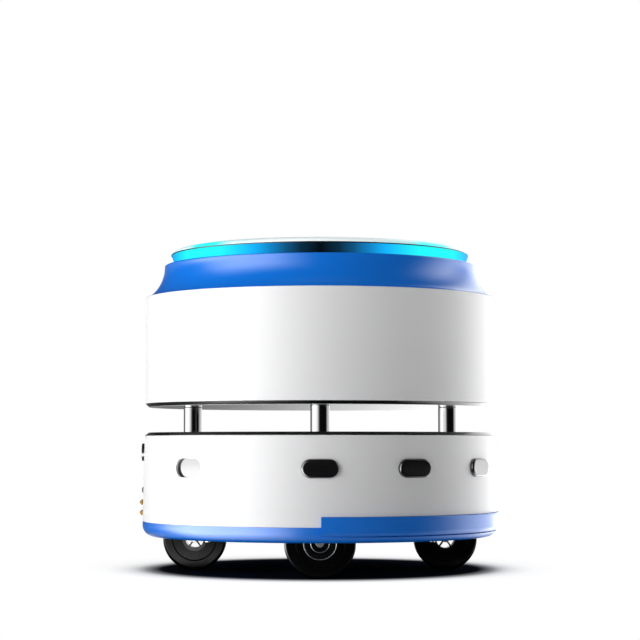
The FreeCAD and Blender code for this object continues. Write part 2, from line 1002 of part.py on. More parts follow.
def hub(outer, cup, boss, bore, width, middle, web, boss_top, opening, spokes, spoke_width):
    """A wheel core: rim ring, cupped sides and an open web of spokes round the boss."""
    low = middle - width / 2
    high = middle + width / 2
    core = spin(
        outline(
            (bore, low),
            (boss, low),
            (boss, middle - web / 2),
            (cup, middle - web / 2),
            (cup, low),
            (outer, low),
            (outer, high),
            (cup, high),
            (cup, middle + web / 2),
            (boss, middle + web / 2),
            (boss, boss_top),
            (bore, boss_top),
        )
    )
    gaps = ring(boss, opening, middle - web / 2, middle + web / 2)
    half = spoke_width / 2
    for index in range(spokes):
        spoke = block((0, -half, middle - web / 2), (outer, half, middle + web / 2))
        gaps = gaps.cut(turned(spoke, 360 * index / spokes - 90))
    return core.cut(gaps)


def on_axle(shape, x, side, z):
    """Turns a piece made about Z so that its axis points out to the given side, at an axle."""
    copy = shape.copy()
    copy.rotate(ORIGIN, X, -90 * side)
    return moved(copy, x, 0, z)


def drive_tyre(side):
    shape = tyre(drive_radius, drive_hub_radius, drive_width, drive_middle, drive_groove_radius)
    return on_axle(shape, 0, side, drive_radius)


def drive_hub(side):
    width = drive_width - tyre_side_groove
    boss_top = drive_middle + width / 2 - drive_boss_recess
    shape = hub(
        drive_hub_radius,
        drive_cup_radius,
        drive_boss_radius,
        shaft_radius,
        width,
        drive_middle,
        drive_web,
        boss_top,
        drive_opening_radius,
        drive_spokes,
        drive_spoke_width,
    )
    return on_axle(shape, 0, side, drive_radius)


def drive_shaft(side):
    """Output shaft with the retaining cap that shows in the hub."""
    seat = drive_middle + (drive_width - tyre_side_groove) / 2 - drive_boss_recess
    start = bracket_face - shaft_depth
    rod = cylinder(shaft_radius, seat - start, (0, 0, start))
    cap = cylinder(shaft_cap_radius, shaft_cap_height, (0, 0, seat))
    return on_axle(fused([rod, cap]), 0, side, drive_radius)


def gearmotor(side):
    """Gearbox, motor and end cap in line behind the bracket, with the bore that carries the shaft."""
    gearbox_end = motor_face - gearbox_length
    motor_end = gearbox_end - motor_length
    body = fused(
        [
            cylinder(gearbox_radius, gearbox_length, (0, 0, gearbox_end)),
            cylinder(motor_radius, motor_length, (0, 0, motor_end)),
            cylinder(motor_cap_radius, motor_cap_length, (0, 0, motor_end - motor_cap_length)),
            cylinder(pilot_radius, bracket_thickness, (0, 0, motor_face)),
        ]
    )
    depth = shaft_depth + seat_gap
    bore = cylinder(shaft_radius + shaft_bore_gap, depth, (0, 0, bracket_face - depth))
    return on_axle(body.cut(bore), 0, side, drive_radius)


def motor_bracket(side):
    """An angle bracket with a round lower end that carries the gearbox by its front face."""
    half = bracket_width / 2
    z_axle = drive_radius
    upright = block((-half, motor_face, z_axle), (half, bracket_face, z_plate))
    lower_end = cylinder(half, bracket_thickness, (0, motor_face, z_axle), Y)
    z_flange = z_plate - bracket_thickness
    flange = block((-half, motor_face - bracket_flange, z_flange), (half, motor_face, z_plate))
    bracket = fused([upright, lower_end, flange])
    bracket = bracket.cut(cylinder(pilot_radius + pilot_gap, bracket_thickness, (0, motor_face, z_axle), Y))
    for spot in bracket_screw_spots(1):
        hole = cylinder(plate_screw_radius + plate_screw_gap, bracket_thickness, (*spot, z_flange))
        bracket = bracket.cut(hole)
    if side < 0:
        bracket = turned(bracket, 180)
    return bracket


def caster_place(shape, side):
    """Puts a caster piece made about its pivot at the front or, turned round, at the rear."""
    placed = moved(shape, caster_pivot, 0, 0)
    if side < 0:
        placed = turned(placed, 180)
    return placed


def caster_plate(side):
    half_x = caster_plate_length / 2
    half_y = caster_plate_width / 2
    foot = z_plate - caster_plate_thickness
    plate = block((-half_x, -half_y, foot), (half_x, half_y, z_plate))
    race = cylinder(race_radius, race_height, (0, 0, z_race))
    plate = fused([plate, race])
    plate = plate.cut(cylinder(kingpin_radius + kingpin_gap, z_plate - z_race, (0, 0, z_race)))
    for dx in (-caster_bolt_length / 2, caster_bolt_length / 2):
        for dy in (-caster_bolt_width / 2, caster_bolt_width / 2):
            hole = cylinder(plate_screw_radius + plate_screw_gap, caster_plate_thickness, (dx, dy, foot))
            plate = plate.cut(hole)
    return caster_place(plate, side)


def caster_fork(side):
    """Crown, bridge, kingpin and two tapering legs that end in eyes at the trailing axle."""
    crown = cylinder(fork_crown_radius, fork_crown_height, (0, 0, z_crown))
    kingpin = cylinder(kingpin_radius, z_plate - kingpin_recess - z_race, (0, 0, z_race))
    bridge = block(
        (-fork_head_rear, -fork_outside, z_crown - fork_bridge), (fork_head_front, fork_outside, z_crown)
    )
    leg_face = outline(
        (-fork_head_rear, z_crown),
        (caster_trail - fork_eye_radius, caster_radius),
        (caster_trail + fork_eye_radius, caster_radius),
        (fork_head_front, z_crown),
    )
    pieces = [crown, kingpin, bridge]
    for start in (fork_inside, -fork_outside):
        leg = moved(leg_face, 0, start, 0).extrude(FreeCAD.Vector(0, fork_leg, 0))
        eye = cylinder(fork_eye_radius, fork_leg, (caster_trail, start, caster_radius), Y)
        pieces += [leg, eye]
    fork = fused(pieces)
    hole = cylinder(caster_axle_radius, 2 * fork_outside, (caster_trail, -fork_outside, caster_radius), Y)
    return caster_place(fork.cut(hole), side)


def caster_axle(side):
    """Axle bolt with a head at each fork eye."""
    rod = cylinder(caster_axle_radius, 2 * fork_outside, (caster_trail, -fork_outside, caster_radius), Y)
    near = cylinder(axle_head_radius, axle_head_height, (caster_trail, fork_outside, caster_radius), Y)
    far_start = -fork_outside - axle_head_height
    far = cylinder(axle_head_radius, axle_head_height, (caster_trail, far_start, caster_radius), Y)
    return caster_place(fused([rod, near, far]), side)


def caster_tyre(side):
    shape = tyre(caster_radius, caster_hub_radius, caster_width, 0, caster_groove_radius)
    return on_axle(shape, side * (caster_pivot + caster_trail), 1, caster_radius)


def caster_hub(side):
    width = caster_width + 2 * (caster_side_gap - seat_gap)
    shape = hub(
        caster_hub_radius,
        caster_cup_radius,
        caster_boss_radius,
        caster_axle_radius + axle_bore_gap,
        caster_width - tyre_side_groove,
        0,
        caster_web,
        width / 2,
        caster_cup_radius,
        caster_spokes,
        caster_spoke_width,
    )
    return on_axle(shape, side * (caster_pivot + caster_trail), 1, caster_radius)


def battery_tray():
    half_x = tray_length / 2
    half_y = tray_width / 2
    outer = block((-half_x, -half_y, z_plate_top), (half_x, half_y, z_plate_top + tray_lip))
    inner = block(
        (-half_x, -half_y + tray_sheet, z_plate_top + tray_sheet),
        (half_x, half_y - tray_sheet, z_plate_top + tray_lip),
    )
    return outer.cut(inner)


def battery_pack():
    half_x = battery_length / 2
    half_y = battery_width / 2
    foot = z_plate_top + tray_sheet
    pack = block((-half_x, -half_y, foot), (half_x, half_y, foot + battery_height))
    uprights = [edge for edge in pack.Edges if abs(edge.tangentAt(edge.FirstParameter).z) > 0.9]
    return pack.makeFillet(battery_edge, uprights)


def finned(length, width, height, fin_rise, centre_y, foot):
    """A flat case with a row of cooling fins on top."""
    half_x = length / 2
    half_y = width / 2
    top = foot + height
    pieces = [block((-half_x, centre_y - half_y, foot), (half_x, centre_y + half_y, top))]
    step = (width - fin_thickness) / (fin_count - 1)
    for index in range(fin_count):
        y = centre_y - half_y + step * index
        pieces.append(block((-half_x, y, top), (half_x, y + fin_thickness, top + fin_rise)))
    return fused(pieces)


def drive_controller():
    return finned(
        controller_length, controller_width, controller_height, fin_height, controller_offset, z_plate_top
    )


def main_computer():
    return finned(computer_length, computer_width, computer_height, computer_fin_height, 0, z_wall)


ends = {"front": 1, "rear": -1}
sides = {"left": 1, "right": -1}

pieces = {
    "base_pan": base_pan(),
    "chassis_plate": chassis_plate(),
    "pan_standoffs": pan_standoffs(),
    "pan_screws": pan_screws(),
    "lower_shell": lower_shell(),
    "lower_deck": lower_deck(),
    "pillar_screws": pillar_screws(),
    "upper_plate": upper_plate(),
    "upper_rim": upper_rim(),
    "upper_shell": upper_shell(),
    "top_collar": top_collar(),
    "led_board": led_board(),
    "light_ring": light_ring(),
    "light_rim": light_rim(),
    "top_cap": top_cap(),
    "payload_plate": payload_plate(),
    "payload_posts": payload_posts(),
    "sensor_windows": sensor_windows(),
    "sensor_modules": sensor_modules(),
    "rear_window": rear_window(),
    "charge_block": charge_block(),
    "charge_contacts": charge_contacts(),
    "button_switch": button_switch(),
    "power_button": power_button(),
    "front_bumper": front_bumper(),
    "bumper_pins": bumper_pins(),
    "bumper_guides": bumper_guides(),
    "bumper_springs": bumper_springs(),
    "bumper_switches": bumper_switches(),
    "battery_tray": battery_tray(),
    "battery_pack": battery_pack(),
    "drive_controller": drive_controller(),
    "main_computer": main_computer(),
    "caster_screws": plate_screws(plate_screw_spots(), z_plate - caster_plate_thickness),
    "bracket_screws": plate_screws(
        bracket_screw_spots(1) + bracket_screw_spots(-1), z_plate - bracket_thickness
    ),
}
for name, angle in quarters.items():
    pieces["pillar_" + name] = pillar(angle)
for name, side in sides.items():
    pieces["drive_tyre_" + name] = drive_tyre(side)
    pieces["drive_hub_" + name] = drive_hub(side)
    pieces["drive_shaft_" + name] = drive_shaft(side)
    pieces["gearmotor_" + name] = gearmotor(side)
    pieces["motor_bracket_" + name] = motor_bracket(side)
for name, side in ends.items():
    pieces["caster_plate_" + name] = caster_plate(side)
    pieces["caster_fork_" + name] = caster_fork(side)
    pieces["caster_axle_" + name] = caster_axle(side)
    pieces["caster_tyre_" + name] = caster_tyre(side)
    pieces["caster_hub_" + name] = caster_hub(side)

os.makedirs("parts", exist_ok=True)
for name, shape in pieces.items():
    shape.exportStep("parts/" + name + ".step")
    state = "valid" if shape.isValid() else "INVALID"
    print(name, len(shape.Solids), "solids", round(shape.Volume), "mm3", state)
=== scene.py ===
# %% [markdown]
# # A round robot chassis, dressed for its portrait
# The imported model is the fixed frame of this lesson: every solid is already in its place, in metres, with
# the front of the robot along +X. We never move those solids. We put a finished skin over the ones that
# show, give the rest a finish of their own, and light the whole as a studio would.

# %% Load the frame
import json
import math

import bmesh
import bpy
from mathutils import Matrix, Vector


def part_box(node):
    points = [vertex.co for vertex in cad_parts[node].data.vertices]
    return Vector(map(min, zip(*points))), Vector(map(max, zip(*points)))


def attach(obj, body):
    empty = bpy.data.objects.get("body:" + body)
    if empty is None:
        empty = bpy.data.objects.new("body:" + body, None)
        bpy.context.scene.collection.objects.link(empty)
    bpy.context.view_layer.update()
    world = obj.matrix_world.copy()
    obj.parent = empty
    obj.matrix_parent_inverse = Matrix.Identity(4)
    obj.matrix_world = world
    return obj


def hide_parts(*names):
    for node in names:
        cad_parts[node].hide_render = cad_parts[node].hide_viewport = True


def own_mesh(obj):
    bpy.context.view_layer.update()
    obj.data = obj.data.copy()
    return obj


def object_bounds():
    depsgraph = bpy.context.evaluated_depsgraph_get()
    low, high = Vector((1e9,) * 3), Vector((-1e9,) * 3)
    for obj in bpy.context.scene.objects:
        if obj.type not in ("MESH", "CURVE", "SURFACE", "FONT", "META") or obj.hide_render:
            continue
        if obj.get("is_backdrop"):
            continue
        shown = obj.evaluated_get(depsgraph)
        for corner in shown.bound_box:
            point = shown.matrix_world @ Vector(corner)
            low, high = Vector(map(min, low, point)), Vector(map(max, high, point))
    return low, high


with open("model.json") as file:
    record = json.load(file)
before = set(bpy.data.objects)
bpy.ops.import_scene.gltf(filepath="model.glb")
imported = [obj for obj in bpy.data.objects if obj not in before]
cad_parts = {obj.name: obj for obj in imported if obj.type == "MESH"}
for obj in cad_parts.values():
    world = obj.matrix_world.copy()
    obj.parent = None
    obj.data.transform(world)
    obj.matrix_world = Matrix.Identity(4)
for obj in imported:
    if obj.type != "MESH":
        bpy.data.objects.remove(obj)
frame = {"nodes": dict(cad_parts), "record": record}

cad_low, cad_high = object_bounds()
MM = 0.001

# %% [markdown]
# ## The camera
# The picture is a level side view from the robot's right, taken from far away with a long lens, with the
# lens near the height of the lower drum. A long lens keeps the drums' rims nearly flat. The camera is
# tilted up a little, so no lens shift is needed and the other views keep the same framing.

# %% Camera
CAMERA_DISTANCE = 2.80
CAMERA_HEIGHT = 0.178
AIM_HEIGHT = 0.3584
LENS = 109.33

scene = bpy.context.scene
camera = bpy.data.objects.new("camera", bpy.data.cameras.new("camera"))
camera.data.lens = LENS
camera.location = (0, -CAMERA_DISTANCE, CAMERA_HEIGHT)
aim = Vector((0, 0, AIM_HEIGHT)) - camera.location
camera.rotation_euler = aim.to_track_quat("-Z", "Y").to_euler()
scene.collection.objects.link(camera)
scene.camera = camera
scene.view_settings.view_transform = "Standard"
tilt = math.degrees(math.asin(aim.normalized().z))
print("camera: lens", LENS, "mm, looking up", round(tilt, 2), "degrees")

# %% [markdown]
# ## Writing shaders as sums
# A finish is easier to read as arithmetic than as a pile of nodes. `Wire` wraps one socket, and `+ - * /`
# on it add Math nodes. `Nodes` holds a tree, and its `node` makes any other node from its type, its
# settings and its inputs. `Finish` is the tree of one material, and `set` gives a value or a wire to its
# main shader. A value that never changes is set on the shader's own socket, because an exporter can then
# read it.

# %% Wires
class Wire:
    """One output socket of a tree; arithmetic on it adds Math nodes."""

    def __init__(self, nodes, socket):
        self.nodes = nodes
        self.socket = socket

    def math(self, operation, *values):
        """A Math node on some values."""
        node = self.nodes.node("ShaderNodeMath", {"operation": operation}, dict(enumerate(values)))
        return Wire(self.nodes, node.outputs[0])

    def __add__(self, other):
        return self.math("ADD", self, other)

    def __sub__(self, other):
        return self.math("SUBTRACT", self, other)

    def __rsub__(self, other):
        return self.math("SUBTRACT", other, self)

    def __mul__(self, other):
        return self.math("MULTIPLY", self, other)

    def __truediv__(self, other):
        return self.math("DIVIDE", self, other)

    def __rtruediv__(self, other):
        return self.math("DIVIDE", other, self)

    __radd__ = __add__
    __rmul__ = __mul__


print("wires ready")


# %% Trees
def set_stops(elements, stops):
    """Gives a colour ramp its (place, colour) stops."""
    while len(elements) < len(stops):
        elements.new(1.0)
    for element, (place, colour) in zip(elements, stops):
        element.position = place
        element.color = (*colour, 1)


class Nodes:
    """A node tree with one method that makes any node."""

    def __init__(self, tree):
        self.tree = tree
        tree.nodes.clear()

    def link(self, value, socket):
        """Joins a wire or a socket to a socket, or sets it to a value."""
        if isinstance(value, Wire):
            value = value.socket
        if isinstance(value, bpy.types.NodeSocket):
            self.tree.links.new(value, socket)
        else:
            socket.default_value = value

    def node(self, kind, settings=None, inputs=None):
        """A node of any type with its settings, which are set first, and its inputs."""
        made = self.tree.nodes.new(kind)
        for name, value in (settings or {}).items():
            if name == "stops":
                set_stops(made.color_ramp.elements, value)
            else:
                setattr(made, name, value)
        for name, value in (inputs or {}).items():
            self.link(value, made.inputs[name])
        return made

    def between(self, value, low, high, to_low=0.0, to_high=1.0):
        """A smooth step from to_low to to_high as a value goes from low to high."""
        made = self.node(
            "ShaderNodeMapRange",
            {"interpolation_type": "SMOOTHSTEP"},
            {"Value": value, "From Min": low, "From Max": high, "To Min": to_low, "To Max": to_high},
        )
        return Wire(self, made.outputs[0])

    def ramp(self, factor, stops):
        """A colour that follows a list of (place, colour) stops."""
        made = self.node("ShaderNodeValToRGB", {"stops": stops}, {"Fac": factor})
        return Wire(self, made.outputs["Color"])


print("trees ready")


# %% Finishes
def rgba(value):
    """A colour of three numbers gets its alpha; anything else stays as it is."""
    return (*value, 1) if isinstance(value, tuple) and len(value) == 3 else value


class Finish(Nodes):
    """A procedural material on one main shader."""

    def __init__(self, name, **constants):
        self.material = bpy.data.materials.new(name)
        self.material.use_nodes = True
        super().__init__(self.material.node_tree)
        self.shader = self.node("ShaderNodeBsdfPrincipled")
        output = self.node("ShaderNodeOutputMaterial")
        self.link(self.shader.outputs[0], output.inputs["Surface"])
        self.place = self.node("ShaderNodeTexCoord").outputs["Object"]
        for socket, value in constants.items():
            self.set(socket.replace("_", " ").title().replace("Ior", "IOR"), value)

    def set(self, socket, value):
        """Gives the main shader a value, a colour or a wire."""
        self.link(rgba(value), self.shader.inputs[socket])

    def noise(self, scale, detail=2, roughness=0.5, stretch=None):
        """Soft noise between 0 and 1; stretch squeezes it along X, Y and Z."""
        place = self.place
        if stretch:
            mapped = self.node("ShaderNodeMapping", None, {"Vector": place, "Scale": stretch})
            place = mapped.outputs[0]
        made = self.node(
            "ShaderNodeTexNoise",
            None,
            {"Vector": place, "Scale": scale, "Detail": detail, "Roughness": roughness},
        )
        return Wire(self, made.outputs["Fac"])

    def blend(self, factor, first, second):
        """A colour between two colours or wires."""
        inputs = {0: factor, 6: rgba(first), 7: rgba(second)}
        made = self.node("ShaderNodeMix", {"data_type": "RGBA"}, inputs)
        return Wire(self, made.outputs[2])

    def axis(self, name):
        """One coordinate of the object: X, Y or Z, in metres."""
        made = self.node("ShaderNodeSeparateXYZ", None, {0: self.place})
        return Wire(self, made.outputs[name])

    def bump(self, height, strength, distance):
        """Fine relief that follows a wire between 0 and 1."""
        inputs = {"Strength": strength, "Distance": distance, "Height": height}
        made = self.node("ShaderNodeBump", None, inputs)
        self.set("Normal", Wire(self, made.outputs[0]))


print("shader helpers ready")

# %% [markdown]
# ## The studio
# The robot stands on a white floor in front of white. A soft box at the front left draws the drums'
# bright side, another behind on the right lights the far edge, and two dark flags, at the front right and
# behind on the left, are what the polished pillars and the glossy windows show besides white. To the
# camera and to glass, the world and the far floor are plain white. Gloss sees them with boxes and flags
# in front, so what gloss sees is a level over the compass bearing, in three ramps: the world near the
# horizon, the world higher up, which darkens to the zenith, and the floor, whose ramp is drawn in towards
# the camera's side close to the robot. Two more ramps set how much light matt surfaces get from the
# floor.

# %% What gloss sees
GLOSS_GAIN = 12.0
# Each stop is a bearing in degrees, from the camera's side towards +X, and a level.
WORLD_GLOSS = [
    (-180, 0.60), (-178, 0.42), (-176.5, 0.24), (-150, 0.16), (-126, 0.4), (-112, 1.5), (-98, 4.6),
    (-89, 5.6), (-74, 5.0), (-49, 4.2), (-37, 3.6), (-26, 2.4), (-15, 0.9), (-6, 0.08), (4, 0.012),
    (78, 0.012), (94, 1.2), (112, 2.4), (140, 2.4), (170, 1.8), (178, 1.15), (179, 0.88), (180, 0.60),
]
HIGH_GLOSS = [
    (-180, 0.04), (-118, 0.04), (-102, 0.25), (-90, 1.7), (-75, 3.4), (-62, 3.9), (-50, 3.7), (-40, 3.2),
    (-30, 2.4), (-20, 1.3), (-11, 0.5), (-3, 0.08), (6, 0.04), (66, 0.04), (76, 0.25), (86, 1.0), (98, 2.2),
    (112, 2.8), (124, 1.6), (136, 1.0), (150, 1.8), (164, 2.0), (176, 0.3),
]
FLOOR_GLOSS = [
    (-180, 0.60), (-178.4, 0.42), (-176.8, 0.30), (-175, 0.18), (-146, 0.08), (-128, 0.3), (-116, 1.2),
    (-104, 4.4), (-88, 8.2), (-66, 8.4), (-44, 7.2), (-24, 3.5), (-12, 0.6), (-5, 0.12), (0, 0.02),
    (60, 0.02), (76, 0.55), (87, 1.3), (100, 2.3), (115, 2.6), (128, 2.6), (142, 3.6), (152, 4.2),
    (175, 1.4), (177.6, 0.98), (179.2, 0.71),
]
FLOOR_FILL = [(-180, 0.85), (-40, 0.85), (10, 0.95), (75, 1.0), (96, 1.5), (140, 1.5), (176, 0.85)]
FLOOR_BOUNCE = [(-180, 1.0), (-40, 0.90), (-4, 0.46), (46, 0.48), (72, 1.07)]


def around(nodes, x, y, stops, spread=1.0):
    """A level by the compass bearing; a spread above 1 draws the ramp in towards the camera's side."""
    bearing = x.math("ARCTAN2", x, y * -1.0) * spread / (2 * math.pi) + 0.5
    ramp = [(degrees / 360 + 0.5, (level / GLOSS_GAIN,) * 3) for degrees, level in stops]
    return nodes.ramp(bearing, ramp) * GLOSS_GAIN


def sight(nodes, gloss_level, fill):
    """White to the camera and to glass, a given level to gloss, and a fill for matt surfaces."""
    path = nodes.node("ShaderNodeLightPath")
    seen = Wire(nodes, path.outputs["Is Camera Ray"])
    seen = seen.math("MAXIMUM", seen, path.outputs["Is Transmission Ray"])
    gloss = Wire(nodes, path.outputs["Is Glossy Ray"])
    return seen + (1 - seen) * (gloss * gloss_level + (1 - gloss) * fill), seen, gloss


print("studio levels ready")

# %% [markdown]
# ## Floor and world
# Near the robot the floor is paint that takes the real shadow of its lamp. Further out it fades into plain
# white, which no lamp has to reach, so the picture's ground has no edge. That fade is painted by distance
# and draws the shadow's soft edge. Under the belly a painted shadow, a dark disc in the floor's colour,
# keeps the blue pan from tinting its own shadow. Gloss changes over from the paint to its ramp closer in
# than matt surfaces do.

# %% Floor
FLOOR_RADIUS = 14.0
FLOOR_SIDES = 96
FLOOR_COLOUR = 0.93
SHADOW_CENTRE = (0, 0.034, 0)
# Each stop is a distance from the shadow's centre in metres, and the share of white or the colour of the
# painted shadow. The share of white is a painted fade that draws the shadow's soft edge.
SHADOW_STOPS = [
    (0.0, 0.0), (0.230, 0.0), (0.250, 0.18), (0.270, 0.55), (0.290, 0.73), (0.33, 0.85), (0.37, 0.93),
    (0.45, 1.0),
]
# Painted shadow: the floor's colour is a dark disc under the belly, paling out to the floor's white.
PAINTED_SHADOW_STOPS = [(0.0, 0.05), (0.235, 0.05), (0.262, 0.40), (0.31, FLOOR_COLOUR)]
NEAR_SPREAD = 0.06
GLOSS_RADII = (0.22, 0.36)
WHITE_RADII = (0.62, 1.15)


def by_distance(nodes, distance, stops):
    """A level that follows (metres, level) stops."""
    return nodes.ramp(distance, [(metres, (level,) * 3) for metres, level in stops])


def floor_material():
    """Paint near the robot, with a painted shadow under it, plain white further out."""
    material = bpy.data.materials.new("white_floor")
    material.use_nodes = True
    nodes = Nodes(material.node_tree)
    place = nodes.node("ShaderNodeTexCoord").outputs["Object"]
    parts = nodes.node("ShaderNodeSeparateXYZ", None, {0: place})
    x, y = (Wire(nodes, parts.outputs[name]) for name in "XY")
    length = nodes.node("ShaderNodeVectorMath", {"operation": "LENGTH"}, {0: place})
    distance = Wire(nodes, length.outputs["Value"])
    gap = nodes.node("ShaderNodeVectorMath", {"operation": "DISTANCE"}, {0: place, 1: SHADOW_CENTRE})
    from_shadow = Wire(nodes, gap.outputs["Value"])
    gloss_level = around(nodes, x, y, FLOOR_GLOSS, 1 + NEAR_SPREAD / (distance * distance))
    level, seen, gloss = sight(nodes, gloss_level, around(nodes, x, y, FLOOR_FILL))
    # painted shadow: the floor's colour is dark under the belly
    painted_shadow = by_distance(nodes, from_shadow, PAINTED_SHADOW_STOPS)
    colour = painted_shadow * (seen + (1 - seen) * around(nodes, x, y, FLOOR_BOUNCE))
    paint = nodes.node("ShaderNodeBsdfDiffuse", None, {"Color": colour})
    white = nodes.node("ShaderNodeEmission", None, {"Strength": level})
    # painted shade: the shadow's soft edge is a fade from the paint to white, drawn by distance
    painted_shadow_fade = by_distance(nodes, from_shadow, SHADOW_STOPS)
    near = nodes.between(distance, *GLOSS_RADII)
    far = nodes.between(distance, *WHITE_RADII)
    share = seen * painted_shadow_fade + (1 - seen) * (gloss * near + (1 - gloss) * far)
    shaders = {0: share, 1: paint.outputs[0], 2: white.outputs[0]}
    mixed = nodes.node("ShaderNodeMixShader", None, shaders)
    nodes.node("ShaderNodeOutputMaterial", None, {"Surface": mixed.outputs[0]})
    return material


def as_mesh(shape, name):
    """Turns an edited shape into a mesh."""
    mesh = bpy.data.meshes.new(name)
    shape.to_mesh(mesh)
    shape.free()
    return mesh


sheet = bmesh.new()
bmesh.ops.create_circle(sheet, cap_ends=True, segments=FLOOR_SIDES, radius=FLOOR_RADIUS)
floor = bpy.data.objects.new("floor", as_mesh(sheet, "floor"))
floor.data.materials.append(floor_material())
scene.collection.objects.link(floor)
floor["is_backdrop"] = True
print("floor", FLOOR_RADIUS, "m, white beyond", WHITE_RADII[1], "m")

# %% World
DOME_FILL = 0.10
ZENITH_GLOSS = 0.04
# How steeply a direction climbs, from 0 level to 1 straight up, where the next ramp takes over.
HIGH_BAND = (0.08, 0.28)
ZENITH_BAND = (0.45, 0.85)


def studio_world():
    """White to the camera, boxes and flags to gloss, and a weak fill."""
    world = bpy.data.worlds.new("studio")
    world.use_nodes = True
    nodes = Nodes(world.node_tree)
    towards = nodes.node("ShaderNodeTexCoord").outputs["Generated"]
    parts = nodes.node("ShaderNodeSeparateXYZ", None, {0: towards})
    x, y, z = (Wire(nodes, parts.outputs[name]) for name in "XYZ")
    high = nodes.between(z, *HIGH_BAND)
    zenith = nodes.between(z, *ZENITH_BAND)
    high_level = around(nodes, x, y, HIGH_GLOSS) * (1 - zenith) + zenith * ZENITH_GLOSS
    gloss_level = around(nodes, x, y, WORLD_GLOSS) * (1 - high) + high * high_level
    level = sight(nodes, gloss_level, DOME_FILL)[0]
    light = nodes.node("ShaderNodeBackground", None, {"Color": (1, 1, 1, 1), "Strength": level})
    nodes.node("ShaderNodeOutputWorld", None, {"Surface": light.outputs[0]})
    return world


scene.world = studio_world()
print("world:", scene.world.name, "with", len(scene.world.node_tree.nodes), "nodes")

# %% [markdown]
# ## Lamps
# Two large soft lamps, at the front left and behind on the right, and a weak one overhead light the robot
# alone. On a real set, barn doors would keep their light off the floor; light linking does that here. A
# second lamp overhead lights the floor alone, so the shadow under the robot stays black without whitening
# the robot's upper faces. Gloss does not see the lamps themselves, only the ramps above, which stand for
# them.

# %% Lamps
LAMPS = {
    # name: (bearing from the camera's side towards +X in degrees, distance, height, width, tall, watts)
    "left_softbox": (-55, 1.9, 0.60, 1.8, 1.5, 33.5),
    "right_rim": (130, 2.2, 0.60, 1.9, 1.6, 54.0),
    "overhead": (0, 0.0, 3.2, 1.4, 1.4, 20.0),
    "floor_lamp": (0, 2.0, 8.0, 5.0, 5.0, 720.0),
}
LAMP_AIM = Vector((0, 0, 0.25))


def receivers(name, state):
    """A light linking set that holds the floor, to be lit alone or left out."""
    members = bpy.data.collections.new(name)
    members.objects.link(floor)
    members.collection_objects[0].light_linking.link_state = state
    return members


all_but_floor = receivers("all_but_floor", "EXCLUDE")
floor_alone = receivers("floor_alone", "INCLUDE")
for name, (bearing, distance, height, width, tall, watts) in LAMPS.items():
    lamp = bpy.data.lights.new(name, "AREA")
    lamp.shape = "RECTANGLE"
    lamp.size = width
    lamp.size_y = tall
    lamp.energy = watts
    stand = bpy.data.objects.new(name, lamp)
    turn = math.radians(bearing)
    stand.location = (distance * math.sin(turn), -distance * math.cos(turn), height)
    stand.rotation_euler = (LAMP_AIM - stand.location).to_track_quat("-Z", "Y").to_euler()
    scene.collection.objects.link(stand)
    stand.visible_glossy = False
    stand.light_linking.receiver_collection = floor_alone if name == "floor_lamp" else all_but_floor
    print(name, "at", [round(c, 2) for c in stand.location], watts, "W")

# %% [markdown]
# ## Finishes
# Each finish is named for the surface it belongs to. The casing is injection moulded, so its paint-like
# colour carries a faint cloudiness and a very fine orange peel. Metals get streaks or grain along the way
# they were worked. Rubber gets dust in its pores, and the edges of the drive tyres are rubbed shiny.

# %% Moulded casing
MOULDED = {
    # name: (colour, shade of its clouds, roughness, orange peel, specular level)
    "white_shell": ((0.83, 0.832, 0.838), 0.975, 0.42, 0.25, 0.5),
    "blue_trim": ((0.0037, 0.185, 0.77), 0.93, 0.19, 0.16, 0.8),
    "black_trim": ((0.0015, 0.0015, 0.0018), 0.7, 0.15, 0.06, 0.5),
    "dark_plastic": ((0.035, 0.035, 0.038), 0.75, 0.5, 0.6, 0.5),
    "battery_case": ((0.02, 0.035, 0.09), 0.8, 0.38, 0.3, 0.5),
    "wheel_core": ((0.006, 0.006, 0.0065), 0.8, 0.14, 0.1, 0.3),
}
UNEVEN_GLOSS = 0.1
PEEL_DEPTH = 0.05 * MM


def moulded(name, colour, shade, roughness, peel, specular):
    """Moulded plastic: a slightly clouded colour, uneven gloss and fine orange peel."""
    finish = Finish(name, specular_ior_level=specular)
    cloud = finish.noise(scale=7, detail=3)
    grain = finish.noise(scale=950, detail=2)
    darker = tuple(c * shade for c in colour)
    finish.set("Base Color", finish.blend(cloud, darker, colour))
    finish.set("Roughness", roughness - UNEVEN_GLOSS / 2 + UNEVEN_GLOSS * cloud)
    finish.bump(grain, peel, PEEL_DEPTH)
    return finish.material


FINISHES = {name: moulded(name, *look) for name, look in MOULDED.items()}
print("moulded finishes:", ", ".join(MOULDED))

# %% Metals
METALS = {
    # name: (colour, roughness, squeeze of the streaks along X, Y and Z, their depth)
    "polished_pillar": ((0.25, 0.252, 0.255), 0.05, (1, 1, 6), 0.001 * MM),
    "bare_plate": ((0.74, 0.745, 0.76), 0.33, (0.15, 6, 6), 0.02 * MM),
    "payload_top": ((0.66, 0.67, 0.69), 0.42, (7, 7, 7), 0.03 * MM),
    "contact_brass": ((0.17, 0.105, 0.028), 0.26, (6, 0.2, 6), 0.02 * MM),
    "steel": ((0.62, 0.63, 0.65), 0.30, (3, 3, 3), 0.02 * MM),
    "motor_case": ((0.075, 0.075, 0.082), 0.42, (4, 0.3, 4), 0.03 * MM),
    "heat_sink": ((0.06, 0.06, 0.068), 0.46, (0.3, 5, 5), 0.03 * MM),
}
STREAK_SHADE = 0.82
STREAK_GLOSS = 0.12
CLOUD_GLOSS = 0.06


